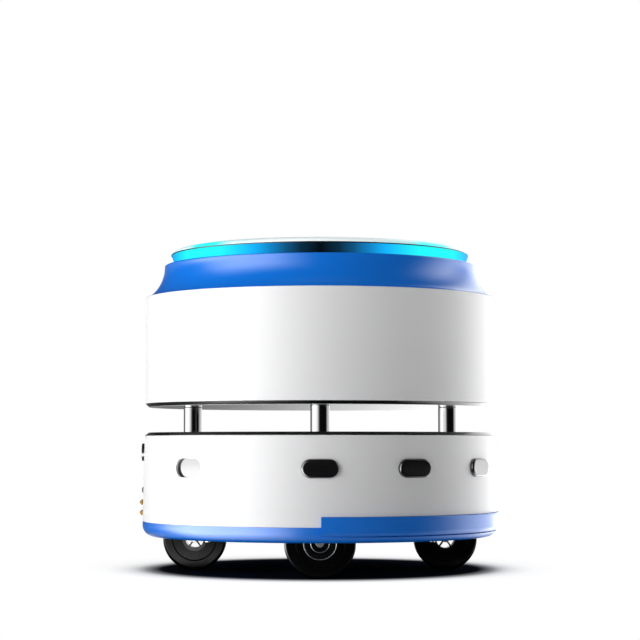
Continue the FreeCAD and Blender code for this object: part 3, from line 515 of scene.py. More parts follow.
def worked_metal(name, colour, roughness, stretch, depth):
    """Metal with the streaks or grain that its tool left."""
    finish = Finish(name, metallic=1.0)
    streaks = finish.noise(scale=140, detail=4, roughness=0.65, stretch=stretch)
    cloud = finish.noise(scale=9, detail=2)
    darker = tuple(c * STREAK_SHADE for c in colour)
    finish.set("Base Color", finish.blend(streaks, darker, colour))
    finish.set("Roughness", roughness + STREAK_GLOSS * (streaks - 0.5) + CLOUD_GLOSS * (cloud - 0.5))
    finish.bump(streaks, strength=0.3, distance=depth)
    return finish.material


FINISHES.update({name: worked_metal(name, *look) for name, look in METALS.items()})
print("metal finishes:", ", ".join(METALS))

# %% Rubber
TYRE_EDGE = (45.0 * MM, 46.2 * MM)
OTHER_WHEELS = (60.0 * MM, 70.0 * MM)
DUST_BAND = (0.20, 0.45)


def middle(node):
    """The middle of a node's box."""
    low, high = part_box(node)
    return (low + high) / 2


def rubber(name, colour, dust):
    """Moulded rubber with pale dust in its pores, rubbed shiny along the edges of the drive tyres."""
    finish = Finish(name, specular_ior_level=0.09, coat_roughness=0.05)
    ahead = finish.axis("X")
    above = finish.axis("Z") - middle("drive_tyre_right").z
    radius = ahead.math("SQRT", ahead * ahead + above * above)
    rubbed = finish.between(radius, *TYRE_EDGE) * (1 - finish.between(radius, *OTHER_WHEELS))
    finish.set("Coat Weight", rubbed)
    pores = finish.noise(scale=650, detail=4, roughness=0.7)
    patches = finish.noise(scale=22, detail=4, roughness=0.6)
    dusty = finish.between(patches * pores, *DUST_BAND)
    finish.set("Base Color", finish.blend(dusty, colour, dust))
    finish.set("Roughness", 0.11 + 0.10 * dusty)
    finish.bump(pores, strength=0.05, distance=0.04 * MM)
    return finish.material


FINISHES["tyre_rubber"] = rubber("tyre_rubber", (0.0022, 0.0022, 0.0023), (0.0050, 0.0050, 0.0048))
FINISHES["spring_rubber"] = rubber("spring_rubber", (0.015, 0.015, 0.016), (0.04, 0.04, 0.04))
print("rubber finishes: tyre_rubber, spring_rubber")


# %% Window gloss and grey paint
def window_gloss():
    """Polished black window that sensors see through: deep black under a clear coat."""
    finish = Finish("window_black", specular_ior_level=1.0, coat_roughness=0.03)
    waves = finish.noise(scale=30, detail=1)
    finish.set("Base Color", finish.blend(waves, (0.0025, 0.0025, 0.003), (0.006, 0.005, 0.006)))
    finish.set("Roughness", 0.05 + 0.05 * waves)
    finish.set("Coat Weight", 0.9 + 0.1 * waves)
    return finish.material


def grey_paint():
    """Smooth grey paint, which mirrors the white behind it when seen at a flat angle."""
    finish = Finish("grey_plate")
    ripple = finish.noise(scale=60, detail=2)
    cloud = finish.noise(scale=5, detail=2)
    finish.set("Base Color", finish.blend(cloud, (0.60, 0.605, 0.62), (0.66, 0.665, 0.68)))
    finish.set("Roughness", 0.07 + 0.04 * ripple)
    finish.bump(ripple, strength=0.1, distance=0.02 * MM)
    return finish.material


FINISHES["window_black"] = window_gloss()
FINISHES["grey_plate"] = grey_paint()
print("finishes so far:", len(FINISHES))

# %% [markdown]
# ## The lit ring
# The ring is lit from behind, and its glow is painted along its front and rear arcs. The painted glow
# fades to black at the two sides, over the drive wheels, and is bluer right at the front and rear. The
# strength of an arc depends only on how far forward or back a point lies, so one ramp along |x| draws all
# of it. The clear shoulder above the ring has a painted glow too: the same cyan near its foot, and a milky
# white glow higher up.

# %% Glow of the light ring
ring_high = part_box("light_ring")[1]
# Painted glow: the ring's emission by |x|, from black at the sides to cyan, bluer at the front and rear.
PAINTED_ARC_GLOW = [
    (0.00, (0.0008, 0.0020, 0.0040)),
    (0.12, (0.0030, 0.0240, 0.0520)),
    (0.21, (0.0050, 0.0850, 0.2100)),
    (0.31, (0.0060, 0.2250, 0.5600)),
    (0.42, (0.0080, 0.4700, 1.0000)),
    (0.52, (0.0150, 0.7000, 1.0000)),
    (0.63, (0.0200, 0.9800, 1.0000)),
    (0.87, (0.0220, 1.0000, 1.0000)),
    (0.95, (0.0150, 0.6000, 1.0000)),
    (1.00, (0.0100, 0.3500, 0.8500)),
]


def along(finish, reach):
    """How far forward or back a point lies, from 0 at the sides to 1 at the front and rear."""
    x = finish.axis("X")
    return x.math("ABSOLUTE", x) / reach


def light_diffuser():
    """Frosted plastic that is lit from behind, with its glow painted along its arcs."""
    unlit = (0.001, 0.002, 0.003)
    finish = Finish("light_diffuser", emission_strength=1.0, base_color=unlit, ior=1.03)
    frost = finish.noise(scale=500, detail=2)
    finish.set("Emission Color", finish.ramp(along(finish, ring_high.x), PAINTED_ARC_GLOW))
    finish.set("Roughness", 0.35 + 0.1 * frost)
    finish.bump(frost, strength=0.1, distance=0.03 * MM)
    return finish.material


FINISHES["light_diffuser"] = light_diffuser()
print("light_diffuser:", len(PAINTED_ARC_GLOW), "stops from the sides to the front")

# %% Glow of the clear cap
cap_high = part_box("top_cap")[1]
# The painted glow grows in two steps, each with its start, end and share, and dims again at the very ends.
PAINTED_GLOW_STEPS = ((0.30, 0.50, 0.18), (0.54, 0.68, 0.82))
PAINTED_GLOW_DIMS = {"low": 0.88, "high": 0.79, "to_low": 0.18, "to_high": 1.0}
PAINTED_GLOW_DEPTHS = (0.5 * MM, 3.5 * MM)


def clear_cap():
    """Milky clear plastic with a painted glow: cyan at its foot along the lit arcs, milky white elsewhere.
    """
    finish = Finish("clear_cap", emission_strength=1.0, specular_ior_level=0.5)
    share = along(finish, cap_high.x)
    first, second = (finish.between(share, start, end) * part for start, end, part in PAINTED_GLOW_STEPS)
    painted_arcs = (first + second) * finish.between(share, **PAINTED_GLOW_DIMS)
    foot = finish.between(finish.axis("Z"), *(cap_high.z - depth for depth in PAINTED_GLOW_DEPTHS))
    painted_glow = painted_arcs * foot
    frost = finish.noise(scale=420, detail=2)
    # painted light: the cap glows milky white all over, and darker in colour and cyan in glow at its foot
    # along the arcs
    finish.set("Base Color", finish.blend(painted_glow, (0.80, 0.84, 0.85), (0.01, 0.20, 0.21)))
    finish.set("Emission Color", finish.blend(painted_glow, (0.30, 0.33, 0.34), (0.03, 0.86, 0.88)))
    finish.set("Roughness", 0.16 + 0.08 * frost)
    return finish.material


FINISHES["clear_cap"] = clear_cap()
print("clear_cap: glows from", PAINTED_GLOW_DEPTHS[0] / MM, "mm below its top")


# %% Circuit board
def circuit_board():
    """Green solder mask over copper tracks."""
    finish = Finish("circuit_board", specular_ior_level=0.5)
    pattern = {"Vector": finish.place, "Scale": 160}
    cells = finish.node("ShaderNodeTexVoronoi", {"feature": "DISTANCE_TO_EDGE"}, pattern)
    track = finish.between(cells.outputs["Distance"], 0.05, 0.10)
    finish.set("Base Color", finish.blend(track, (0.012, 0.11, 0.045), (0.006, 0.055, 0.022)))
    finish.set("Roughness", 0.30 + 0.15 * track)
    finish.bump(track, strength=0.2, distance=0.03 * MM)
    return finish.material


FINISHES["circuit_board"] = circuit_board()

# %% [markdown]
# ## Turned shapes
# Nearly everything on this robot is round, so most skins are turned: a closed section of (radius, height)
# points goes round an axis. Real edges are never knife sharp, so a corner may carry a fillet, which
# `rounded` draws as a short arc. It also adds a point just before and after the arc. Without them the
# smooth shading of the arc would bleed over the whole flat wall beside it.

# %% Sections
ARC_STEPS = 5
ARC_GUARD = 0.3
QUARTER = math.pi / 2


def rounded(corners):
    """A closed section from (r, h) and (r, h, fillet) corners, in metres."""
    points = []
    for index, corner in enumerate(corners):
        here = Vector(corner[:2])
        if len(corner) == 2:
            points.append(here)
            continue
        fillet = corner[2]
        back = (Vector(corners[index - 1][:2]) - here).normalized()
        ahead = (Vector(corners[(index + 1) % len(corners)][:2]) - here).normalized()
        half = back.angle(ahead) / 2
        tangent = fillet / math.tan(half)
        centre = here + (back + ahead).normalized() * (fillet / math.sin(half))
        start = here + back * tangent
        end = here + ahead * tangent
        points.append(start + back * fillet * ARC_GUARD)
        for step in range(ARC_STEPS + 1):
            spoke = (start - centre).lerp(end - centre, step / ARC_STEPS)
            points.append(centre + spoke.normalized() * fillet)
        points.append(end + ahead * fillet * ARC_GUARD)
    return points


def arc(centre, radius, start, end, steps):
    """Points of a round in a section, between two angles in radians."""
    turns = [start + (end - start) * step / steps for step in range(steps + 1)]
    return [Vector((centre[0] + radius * math.cos(t), centre[1] + radius * math.sin(t))) for t in turns]


print("sections ready:", ARC_STEPS, "steps a fillet")

# %% The lathe
TURNS = 288
WHEEL_TURNS = 160
POST_TURNS = 128
PIN_TURNS = 64
BORE_TURNS = 48
ON_AXIS = 1e-7


def axis_frame(axis, centre):
    """A matrix that takes a shape made round Z to another axis and centre."""
    turn = Vector((0, 0, 1)).rotation_difference(Vector(axis)).to_matrix().to_4x4()
    return Matrix.Translation(centre) @ turn


def hexagon(angle):
    """How far a hexagon's side lies out at an angle, for one that is a unit across its half flats."""
    return 1 / math.cos(angle % (math.pi / 3) - math.pi / 6)


def bridge(shape, first, second):
    """Faces between two loops of points; a loop on the axis is one point over and over."""
    for here in range(len(first)):
        after = (here + 1) % len(first)
        corners = dict.fromkeys((first[here], first[after], second[after], second[here]))
        if len(corners) > 2:
            shape.faces.new(list(corners))


def lathe(name, section, axis=(0, 0, 1), centre=(0, 0, 0), turns=TURNS, hexagons=()):
    """A closed solid of revolution; the rings numbered in hexagons are six-sided instead of round."""
    shape = bmesh.new()
    angles = [2 * math.pi * step / turns for step in range(turns)]
    rings = []
    for index, (radius, height) in enumerate(section):
        if radius < ON_AXIS:
            rings.append([shape.verts.new((0, 0, height))] * turns)
            continue
        ring = []
        for angle in angles:
            here = radius * hexagon(angle) if index in hexagons else radius
            ring.append(shape.verts.new((here * math.cos(angle), here * math.sin(angle), height)))
        rings.append(ring)
    for first, second in zip(rings, rings[1:] + rings[:1]):
        bridge(shape, first, second)
    bmesh.ops.recalc_face_normals(shape, faces=shape.faces)
    shape.transform(axis_frame(axis, centre))
    return as_mesh(shape, name)


def rod(radius, start, length, axis=(0, 0, 1), turns=BORE_TURNS):
    """A plain round bar from a point along an axis."""
    section = [(0, 0), (radius, 0), (radius, length), (0, length)]
    return lathe("rod", section, axis, start, turns)


print("lathe ready:", TURNS, "steps a turn")

# %% [markdown]
# ## Cutting, copying and dressing
# `carve` cuts holes with exact Boolean modifiers and keeps the plain mesh. `dress` puts a mesh into the
# scene with its finish, ties it to the body it moves with and hides the solids it stands for. `edged`
# dresses a copy of a solid of the frame: it merges its loose triangles and breaks its sharp edges with a
# small bevel, as a moulded or machined edge is broken; weighted normals keep the flats flat.

# %% Cutting and joining
def plain_mesh(mesh, modifiers):
    """The mesh that a list of (type, settings) modifiers makes of a mesh."""
    holder = bpy.data.objects.new("holder", mesh)
    scene.collection.objects.link(holder)
    for kind, settings in modifiers:
        modifier = holder.modifiers.new(kind.lower(), kind)
        for name, value in settings.items():
            setattr(modifier, name, value)
    view = bpy.context.evaluated_depsgraph_get()
    made = bpy.data.meshes.new_from_object(holder.evaluated_get(view))
    made.name = mesh.name
    bpy.data.objects.remove(holder)
    return made


def carve(mesh, cutters, operation="DIFFERENCE"):
    """A mesh with other closed meshes cut out of it, or only what it shares with them."""
    tools = []
    for cutter in cutters:
        tool = bpy.data.objects.new("cutter", cutter)
        scene.collection.objects.link(tool)
        tools.append(tool)
    settings = {"operation": operation, "solver": "EXACT"}
    made = plain_mesh(mesh, [("BOOLEAN", {"object": tool, **settings}) for tool in tools])
    for tool in tools:
        bpy.data.objects.remove(tool)
    return made


def joined(name, meshes):
    """Several meshes as one."""
    shape = bmesh.new()
    for mesh in meshes:
        shape.from_mesh(mesh)
    return as_mesh(shape, name)


print("cutting and joining ready")

# %% Copying and dressing
SHARP = math.radians(32)
MERGE_WITHIN = 0.002 * MM
FLAT_WITHIN = math.radians(0.2)


def dress(name, mesh, body, slot, *nodes, smooth=True):
    """Shows a mesh with its finish, tied to a body, in place of some nodes."""
    mesh.name = name
    mesh.materials.clear()
    mesh.materials.append(FINISHES[slot])
    if smooth:
        mesh.shade_smooth()
        mesh.set_sharp_from_angle(angle=SHARP)
    piece = bpy.data.objects.new(name, mesh)
    scene.collection.objects.link(piece)
    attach(piece, body)
    if nodes:
        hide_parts(*nodes)
    print(name, "on", body, len(mesh.polygons), "faces")
    return piece


def merged_copy(node):
    """A copy of a node's mesh with its loose triangles merged and its flats made whole."""
    shape = bmesh.new()
    shape.from_mesh(frame["nodes"][node].data)
    bmesh.ops.remove_doubles(shape, verts=shape.verts, dist=MERGE_WITHIN)
    bmesh.ops.dissolve_limit(shape, angle_limit=FLAT_WITHIN, verts=shape.verts, edges=shape.edges)
    return as_mesh(shape, node + "_copy")


def edged(name, node, body, slot, edge, steps=2):
    """Shows a copy of a node in its place, with its sharp edges broken by a bevel."""
    mesh = merged_copy(node)
    mesh.shade_smooth()
    bevel = {
        "width": edge,
        "segments": steps,
        "limit_method": "ANGLE",
        "angle_limit": SHARP,
        "use_clamp_overlap": True,
        "harden_normals": False,
    }
    made = plain_mesh(mesh, [("BEVEL", bevel), ("WEIGHTED_NORMAL", {"keep_sharp": True})])
    dress(name, made, body, slot, node, smooth=False)


def span(node):
    """Radius about the robot's axis, foot and top of a round node."""
    low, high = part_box(node)
    return high.y, low.z, high.z


print("copying and dressing ready")

# %% [markdown]
# ## The upper drum
# The upper drum is a plain moulded wall between two thin joints. The joint lines are what the eye reads,
# so the wall's top and bottom edges get a small fillet and the wall is otherwise dead straight. Under it
# lies a black chamfered rim.

# %% Upper drum
WALL = 3.5 * MM
FLANGE = 3.0 * MM
FLANGE_REACH = 10.0 * MM
JOINT_EDGE = 0.7 * MM
FINE_EDGE = 0.3 * MM

radius, foot, top = span("upper_shell")
inner = radius - WALL
flange = inner - FLANGE_REACH
upper_wall = rounded(
    [
        (flange, foot),
        (radius, foot, JOINT_EDGE),
        (radius, top, JOINT_EDGE),
        (flange, top),
        (flange, top - FLANGE),
        (inner, top - FLANGE),
        (inner, foot + FLANGE),
        (flange, foot + FLANGE),
    ]
)
dress("upper_drum_wall", lathe("upper_wall", upper_wall), "chassis", "white_shell", "upper_shell")

radius, foot, top = span("upper_rim")
inner = radius - (top - foot)
upper_edge = rounded([(inner, foot, FINE_EDGE), (radius, top, FINE_EDGE), (inner, top)])
dress("upper_drum_rim", lathe("upper_edge", upper_edge), "chassis", "black_trim", "upper_rim")

# %% [markdown]
# ## The lower drum
# The lower wall flares outwards to its foot. Its front half starts higher, above the bumper, and it is
# pierced for eight windows round it, one more at the rear, two charging strips and a button. Turning the
# wall first and cutting the openings with bars of the same outline as what fills them keeps each gap
# even. The deck that closes it is black, with a broad chamfer and four round seats for the pillars.

# %% Lower drum wall
WALL_EDGE = 1.2 * MM
LEDGE = 3.0 * MM
LEDGE_WIDTH = 20.0 * MM

deck_radius, spigot_foot, deck_top = span("lower_deck")
foot_radius, wall_foot, wall_top = span("lower_shell")
plate_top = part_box("chassis_plate")[1].z


def wall_radius(z):
    """Outer radius of the flared lower wall at a height."""
    share = (wall_top - z) / (wall_top - wall_foot)
    return deck_radius + (foot_radius - deck_radius) * share


ledge_outer = wall_radius(plate_top) - WALL
lower_wall = rounded(
    [
        (foot_radius - WALL, wall_foot),
        (foot_radius, wall_foot, JOINT_EDGE),
        (deck_radius, wall_top, WALL_EDGE),
        (deck_radius - WALL, wall_top),
        (wall_radius(plate_top + LEDGE) - WALL, plate_top + LEDGE),
        (ledge_outer - LEDGE_WIDTH, plate_top + LEDGE),
        (ledge_outer - LEDGE_WIDTH, plate_top),
        (ledge_outer, plate_top),
    ]
)
print("lower wall: foot", round(foot_radius / MM, 2), "mm, top", round(deck_radius / MM, 2), "mm")


# %% Bars and bars with round ends
def bar(name, low, high):
    """A closed box between two corners."""
    shape = bmesh.new()
    bmesh.ops.create_cube(shape, size=1)
    low, high = Vector(low), Vector(high)
    for vertex in shape.verts:
        vertex.co = (low + high) / 2 + Vector(a * b for a, b in zip(vertex.co, high - low))
    return as_mesh(shape, name)


def obround(width, height, inset, steps):
    """Points (across, up) round an outline with round ends, moved in by an inset."""
    round_end = height / 2 - inset
    straight = (width - height) / 2
    loop = []
    for side in (1, -1):
        for step in range(steps + 1):
            angle = math.pi * (step / steps - 0.5)
            across = side * (straight + round_end * math.cos(angle))
            loop.append((across, side * round_end * math.sin(angle)))
    return loop


def obround_bar(name, size, rings, z, steps):
    """A closed bar along X with round ends, which has an (inset, x) ring for each step of its rim."""
    shape = bmesh.new()
    loops = []
    for inset, x in rings:
        outline = obround(*size, inset, steps)
        loops.append([shape.verts.new((x, across, z + up)) for across, up in outline])
    shape.faces.new(loops[0])
    shape.faces.new(loops[-1])
    for first, second in zip(loops, loops[1:]):
        bridge(shape, first, second)
    bmesh.ops.recalc_face_normals(shape, faces=shape.faces)
    return as_mesh(shape, name)


print("bars ready")

# %% Openings in the lower wall
FIT = 0.25 * MM
WINDOW = (50.0 * MM, 25.0 * MM)
REAR_WINDOW = (60.0 * MM, 25.0 * MM)
RAISED_ANGLES = (30, 60, 90, -90, -60, -30)
INSET_ANGLES = (135, -135)
OPENING_STEPS = 12
CONTACT = (40.0 * MM, 7.3 * MM)
BUTTON_BORE = 4.6 * MM
BORE_DEPTH = 30.0 * MM
OVER_BUMPER = 0.5 * MM
OUTSIDE = 10.0 * MM

reach = cad_high.x + OUTSIDE
cut_start = deck_radius - 4 * WALL
bumper_low, bumper_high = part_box("front_bumper")
contact_low, contact_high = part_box("charge_contacts")
button = middle("power_button")
window_z = middle("sensor_windows").z
rear_z = middle("rear_window").z


def opening(size, z, degrees):
    """A cutter for a window's opening, which points out from the axis at an angle."""
    size = [side + 2 * FIT for side in size]
    cutter = obround_bar("opening", size, [(0, cut_start), (0, reach)], z, OPENING_STEPS)
    cutter.transform(Matrix.Rotation(math.radians(degrees), 4, "Z"))
    return cutter


front_high = (reach, reach, bumper_high.z + OVER_BUMPER)
openings = [bar("front", (bumper_low.x - OVER_BUMPER, -reach, 0), front_high)]
openings += [opening(WINDOW, window_z, degrees) for degrees in RAISED_ANGLES + INSET_ANGLES]
openings.append(opening(REAR_WINDOW, rear_z, 180))
half, rise = (side / 2 + FIT for side in CONTACT)
for z in (contact_low.z + CONTACT[1] / 2, contact_high.z - CONTACT[1] / 2):
    openings.append(bar("strip", (-reach, -half, z - rise), (-cut_start, half, z + rise)))
openings.append(rod(BUTTON_BORE + FIT, (-reach, button.y, button.z), BORE_DEPTH, (1, 0, 0)))
drum = carve(lathe("lower_wall", lower_wall), openings)
dress("lower_drum_wall", drum, "chassis", "white_shell", "lower_shell")

# %% Deck
DECK_CHAMFER = 5.5 * MM
SPIGOT_WIDTH = 8.0 * MM
SEAT_DEPTH = 10.0 * MM
TALL = 1.0
PILLARS = ("front", "left", "rear", "right")

spigot = deck_radius - WALL - FIT
deck = rounded(
    [
        (0, wall_top),
        (spigot - SPIGOT_WIDTH, wall_top),
        (spigot - SPIGOT_WIDTH, spigot_foot),
        (spigot, spigot_foot),
        (spigot, wall_top),
        (deck_radius, wall_top, FINE_EDGE),
        (deck_radius - DECK_CHAMFER, deck_top, JOINT_EDGE),
        (0, deck_top),
    ]
)
seats = []
for place in PILLARS:
    low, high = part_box("pillar_" + place)
    start = (*((low + high) / 2).xy, wall_top - SEAT_DEPTH)
    seats.append(rod((high.x - low.x) / 2 + FIT, start, TALL, turns=PIN_TURNS))
dress("deck_plate", carve(lathe("deck", deck), seats), "chassis", "black_trim", "lower_deck")

# %% [markdown]
# ## Trees that repeat a piece
# Pillars, windows and screws repeat. Copying them by hand would work, but a Geometry Nodes tree keeps the
# pattern in a few named numbers. One tree sets a piece out on a ring, turned to face outwards, and the
# other sets it out on a grid. Both end by making the copies real and giving them their finish, so that
# what we keep is a plain mesh.

# %% Repeating trees
SOCKETS = {
    "Piece": "NodeSocketObject",
    "Finish": "NodeSocketMaterial",
    "Count": "NodeSocketInt",
    "Radius": "NodeSocketFloat",
    "Start": "NodeSocketFloat",
    "Step": "NodeSocketFloat",
    "Columns": "NodeSocketInt",
    "Rows": "NodeSocketInt",
    "Length": "NodeSocketFloat",
    "Width": "NodeSocketFloat",
}


class Pattern(Nodes):
    """A Geometry Nodes tree that repeats one piece at some points."""

    def __init__(self, name, inputs):
        super().__init__(bpy.data.node_groups.new(name, "GeometryNodeTree"))
        sockets = self.tree.interface
        for socket in ("Piece", "Finish", *inputs):
            sockets.new_socket(name=socket, in_out="INPUT", socket_type=SOCKETS[socket])
        sockets.new_socket(name="Geometry", in_out="OUTPUT", socket_type="NodeSocketGeometry")
        self.given = self.node("NodeGroupInput").outputs

    def value(self, name):
        """One of the tree's own inputs."""
        return Wire(self, self.given[name])

    def close(self, points, turn=(0, 0, 0)):
        """Puts the piece at the points, makes the copies real and gives them the finish."""
        piece = self.node("GeometryNodeObjectInfo", None, {"Object": self.given["Piece"]})
        spread = {"Points": points, "Instance": piece.outputs["Geometry"], "Rotation": turn}
        copies = self.node("GeometryNodeInstanceOnPoints", None, spread)
        real = self.node("GeometryNodeRealizeInstances", None, {"Geometry": copies.outputs[0]})
        finish = {"Geometry": real.outputs[0], "Material": self.given["Finish"]}
        dressed = self.node("GeometryNodeSetMaterial", None, finish)
        self.node("NodeGroupOutput", None, {"Geometry": dressed.outputs[0]})


print("pattern inputs:", ", ".join(SOCKETS))


# %% Ring and grid
def ring_pattern():
    """Copies on a ring round Z, each turned to face outwards."""
    tree = Pattern("ring_of_pieces", ("Count", "Radius", "Start", "Step"))
    index = Wire(tree, tree.node("GeometryNodeInputIndex").outputs[0])
    angle = tree.value("Start") + index * tree.value("Step")
    x = tree.value("Radius") * angle.math("COSINE", angle)
    y = tree.value("Radius") * angle.math("SINE", angle)
    spot = tree.node("ShaderNodeCombineXYZ", None, {"X": x, "Y": y}).outputs[0]
    facing = tree.node("ShaderNodeCombineXYZ", None, {"Z": angle}).outputs[0]
    dots = tree.node("GeometryNodePoints", None, {"Count": tree.value("Count"), "Position": spot})
    tree.close(dots.outputs[0], facing)
    return tree


def grid_pattern():
    """Copies on a level grid about its middle."""
    tree = Pattern("grid_of_pieces", ("Columns", "Rows", "Length", "Width"))
    sizes = {"Size X": "Length", "Size Y": "Width", "Vertices X": "Columns", "Vertices Y": "Rows"}
    inputs = {socket: tree.value(name) for socket, name in sizes.items()}
    tree.close(tree.node("GeometryNodeMeshGrid", None, inputs).outputs[0])
    return tree


ring_tree = ring_pattern()
grid_tree = grid_pattern()
print("patterns:", ring_tree.tree.name, "and", grid_tree.tree.name)


# %% Making a pattern plain
def repeated(pattern, mesh, slot, centre=(0, 0, 0), **sizes):
    """The plain mesh that a pattern makes of one piece, moved to its centre."""
    mesh.shade_smooth()
    mesh.set_sharp_from_angle(angle=SHARP)
    piece = bpy.data.objects.new("one_piece", mesh)
    scene.collection.objects.link(piece)
    holder = bpy.data.objects.new("holder", bpy.data.meshes.new("holder"))
    modifier = holder.modifiers.new("repeat", "NODES")
    modifier.node_group = pattern.tree
    values = {"Piece": piece, "Finish": FINISHES[slot], **sizes}
    for socket in pattern.tree.interface.items_tree:
        if socket.in_out == "INPUT":
            modifier[socket.identifier] = values[socket.name]
    scene.collection.objects.link(holder)
    view = bpy.context.evaluated_depsgraph_get()
    made = bpy.data.meshes.new_from_object(holder.evaluated_get(view))
    holder.modifiers.remove(modifier)
    bpy.data.objects.remove(holder)
    bpy.data.objects.remove(piece)
    made.transform(Matrix.Translation(centre))
    return made


def on_ring(radius, quarters, z=0.0):
    """A point on a ring, some quarter turns round from the front."""
    return (radius * math.cos(QUARTER * quarters), radius * math.sin(QUARTER * quarters), z)


print("plain copies ready")

# %% [markdown]
# ## Pillars and the floor of the upper drum
# Four polished pillars carry the upper drum across the open slot. A pillar's whole look is its
# reflection, so it needs a truly round, smooth side and crisp ends. One is turned and the ring pattern
# sets out four. The grey floor plate, which shows from below through the slot, is drilled for the screws
# that hold the pillars, and its edge is broken.

# %% Pillars and floor plate
STUD_RADIUS = 6.0 * MM
THREAD_RADIUS = 4.0 * MM
THREAD_DEPTH = 18.0 * MM
PILLAR_EDGE = 0.6 * MM

low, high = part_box("pillar_front")
pillar_circle = (low.x + high.x) / 2
outer = (high.x - low.x) / 2
pillar = rounded(
    [
        (0, low.z),
        (STUD_RADIUS, low.z, FINE_EDGE),
        (STUD_RADIUS, plate_top),
        (outer, plate_top, PILLAR_EDGE),
        (outer, high.z, PILLAR_EDGE),
        (THREAD_RADIUS, high.z),
        (THREAD_RADIUS, high.z - THREAD_DEPTH),
        (0, high.z - THREAD_DEPTH),
    ]
)
post = lathe("post", pillar, turns=POST_TURNS)
ring = {"Count": len(PILLARS), "Radius": pillar_circle, "Start": 0.0, "Step": QUARTER}
posts = repeated(ring_tree, post, "polished_pillar", **ring)
dress("pillar_posts", posts, "chassis", "polished_pillar", *("pillar_" + place for place in PILLARS))

radius, foot, top = span("upper_plate")
plate = rounded([(0, foot), (radius, foot, FINE_EDGE), (radius, top, FINE_EDGE), (0, top)])
holes = [rod(THREAD_RADIUS + FIT, on_ring(pillar_circle, quarter), TALL) for quarter in range(4)]
dress("floor_plate", carve(lathe("plate", plate), holes), "chassis", "grey_plate", "upper_plate")

# %% [markdown]
# ## Collar, light ring and top
# The blue collar sweeps in from the drum to the light ring in one hollow curve. The same four control
# points that shaped the solid shape the skin: they are poles of a cubic curve, sampled finely. The light
# ring leans outwards, a thin dark trim closes it, and the milky shoulder rolls over to the flat payload
# plate.

# %% Collar
COLLAR_INSET = 26.4 * MM
COLLAR_RUN = 10.0 * MM
COLLAR_RISE = 2.0 * MM
COLLAR_DROP = 25.5 * MM
COLLAR_EDGE = 1.5 * MM
COLLAR_LIP = 6.0 * MM
BOARD_WIDTH = 16.0 * MM
CURVE_STEPS = 40

collar_radius, collar_foot, collar_top = span("top_collar")


def curve(poles):
    """Points along a cubic curve with four poles."""
    points = []
    for step in range(CURVE_STEPS + 1):
        t = step / CURVE_STEPS
        weights = ((1 - t) ** 3, 3 * t * (1 - t) ** 2, 3 * t * t * (1 - t), t ** 3)
        pulls = (Vector(pole) * weight for pole, weight in zip(poles, weights))
        points.append(sum(pulls, Vector((0, 0))))
    return points


def collar_side(shift):
    """The collar's hollow curve and rounded lip, moved in and down by a wall."""
    start, low = collar_radius - shift, collar_foot - shift
    neck = collar_radius - COLLAR_INSET - shift
    lip = collar_top - shift
    side = curve(
        [
            (start, low),
            (start - COLLAR_RUN, low + COLLAR_RISE),
            (neck, lip - COLLAR_DROP),
            (neck, lip - COLLAR_EDGE),
        ]
    )
    edge = arc((neck - COLLAR_EDGE, lip - COLLAR_EDGE), COLLAR_EDGE, 0, QUARTER, ARC_STEPS)
    return side + edge[1:]


lip_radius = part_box("led_board")[1].x - BOARD_WIDTH - COLLAR_LIP
lips = [(lip_radius, collar_top), (lip_radius, collar_top - WALL)]
inside = [point for point in collar_side(WALL) if point.y >= collar_foot]
foot_inside = (collar_radius - WALL - COLLAR_RUN / 2, collar_foot)
collar = collar_side(0) + lips + inside[::-1] + [foot_inside]
dress("collar", lathe("collar", collar), "chassis", "blue_trim", "top_collar")

# %% Light ring and trim
RING_WALL = 4.0 * MM
RING_FLARE = 4.6 * MM

ring_radius, foot, top = span("light_ring")
lit_ring = rounded(
    [
        (ring_radius - RING_FLARE - RING_WALL, foot),
        (ring_radius - RING_FLARE, foot, FINE_EDGE),
        (ring_radius, top, FINE_EDGE),
        (ring_radius - RING_WALL, top),
    ]
)
dress("lit_ring", lathe("lit_ring", lit_ring), "chassis", "light_diffuser", "light_ring")

radius, foot, top = span("light_rim")
inner = ring_radius - RING_WALL
trim = rounded([(inner, foot), (radius, foot, FINE_EDGE), (radius, top, FINE_EDGE), (inner, top)])
dress("ring_trim", lathe("ring_trim", trim), "chassis", "black_trim", "light_rim")

# %% Clear shoulder
CAP_SHOULDER = 25.6 * MM
CAP_WALL = 3.5 * MM
PLATE_STEP = 6.0 * MM
QUARTER_PULL = 4 * (math.sqrt(2) - 1) / 3


def shoulder(outer, flat, foot, top):
    """A quarter ellipse from a disc's edge up to its flat."""
    run = (outer - flat) * QUARTER_PULL
    rise = (top - foot) * QUARTER_PULL
    return curve([(outer, foot), (outer, foot + rise), (flat + run, top), (flat, top)])


radius, foot, top = span("top_cap")
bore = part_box("payload_plate")[1].x - PLATE_STEP + FIT
flat = radius - CAP_SHOULDER
inside = shoulder(radius - RING_WALL, flat, foot, top - CAP_WALL)
cap = shoulder(radius, flat, foot, top) + [(bore, top), (bore, top - CAP_WALL)] + inside[::-1]
dress("clear_shoulder", lathe("shoulder", cap), "chassis", "clear_cap", "top_cap")

# %% Payload plate
HOLE_RADIUS = 2.5 * MM
HOLE_CIRCLE = 120.0 * MM
HOLE_EDGE = 0.8 * MM

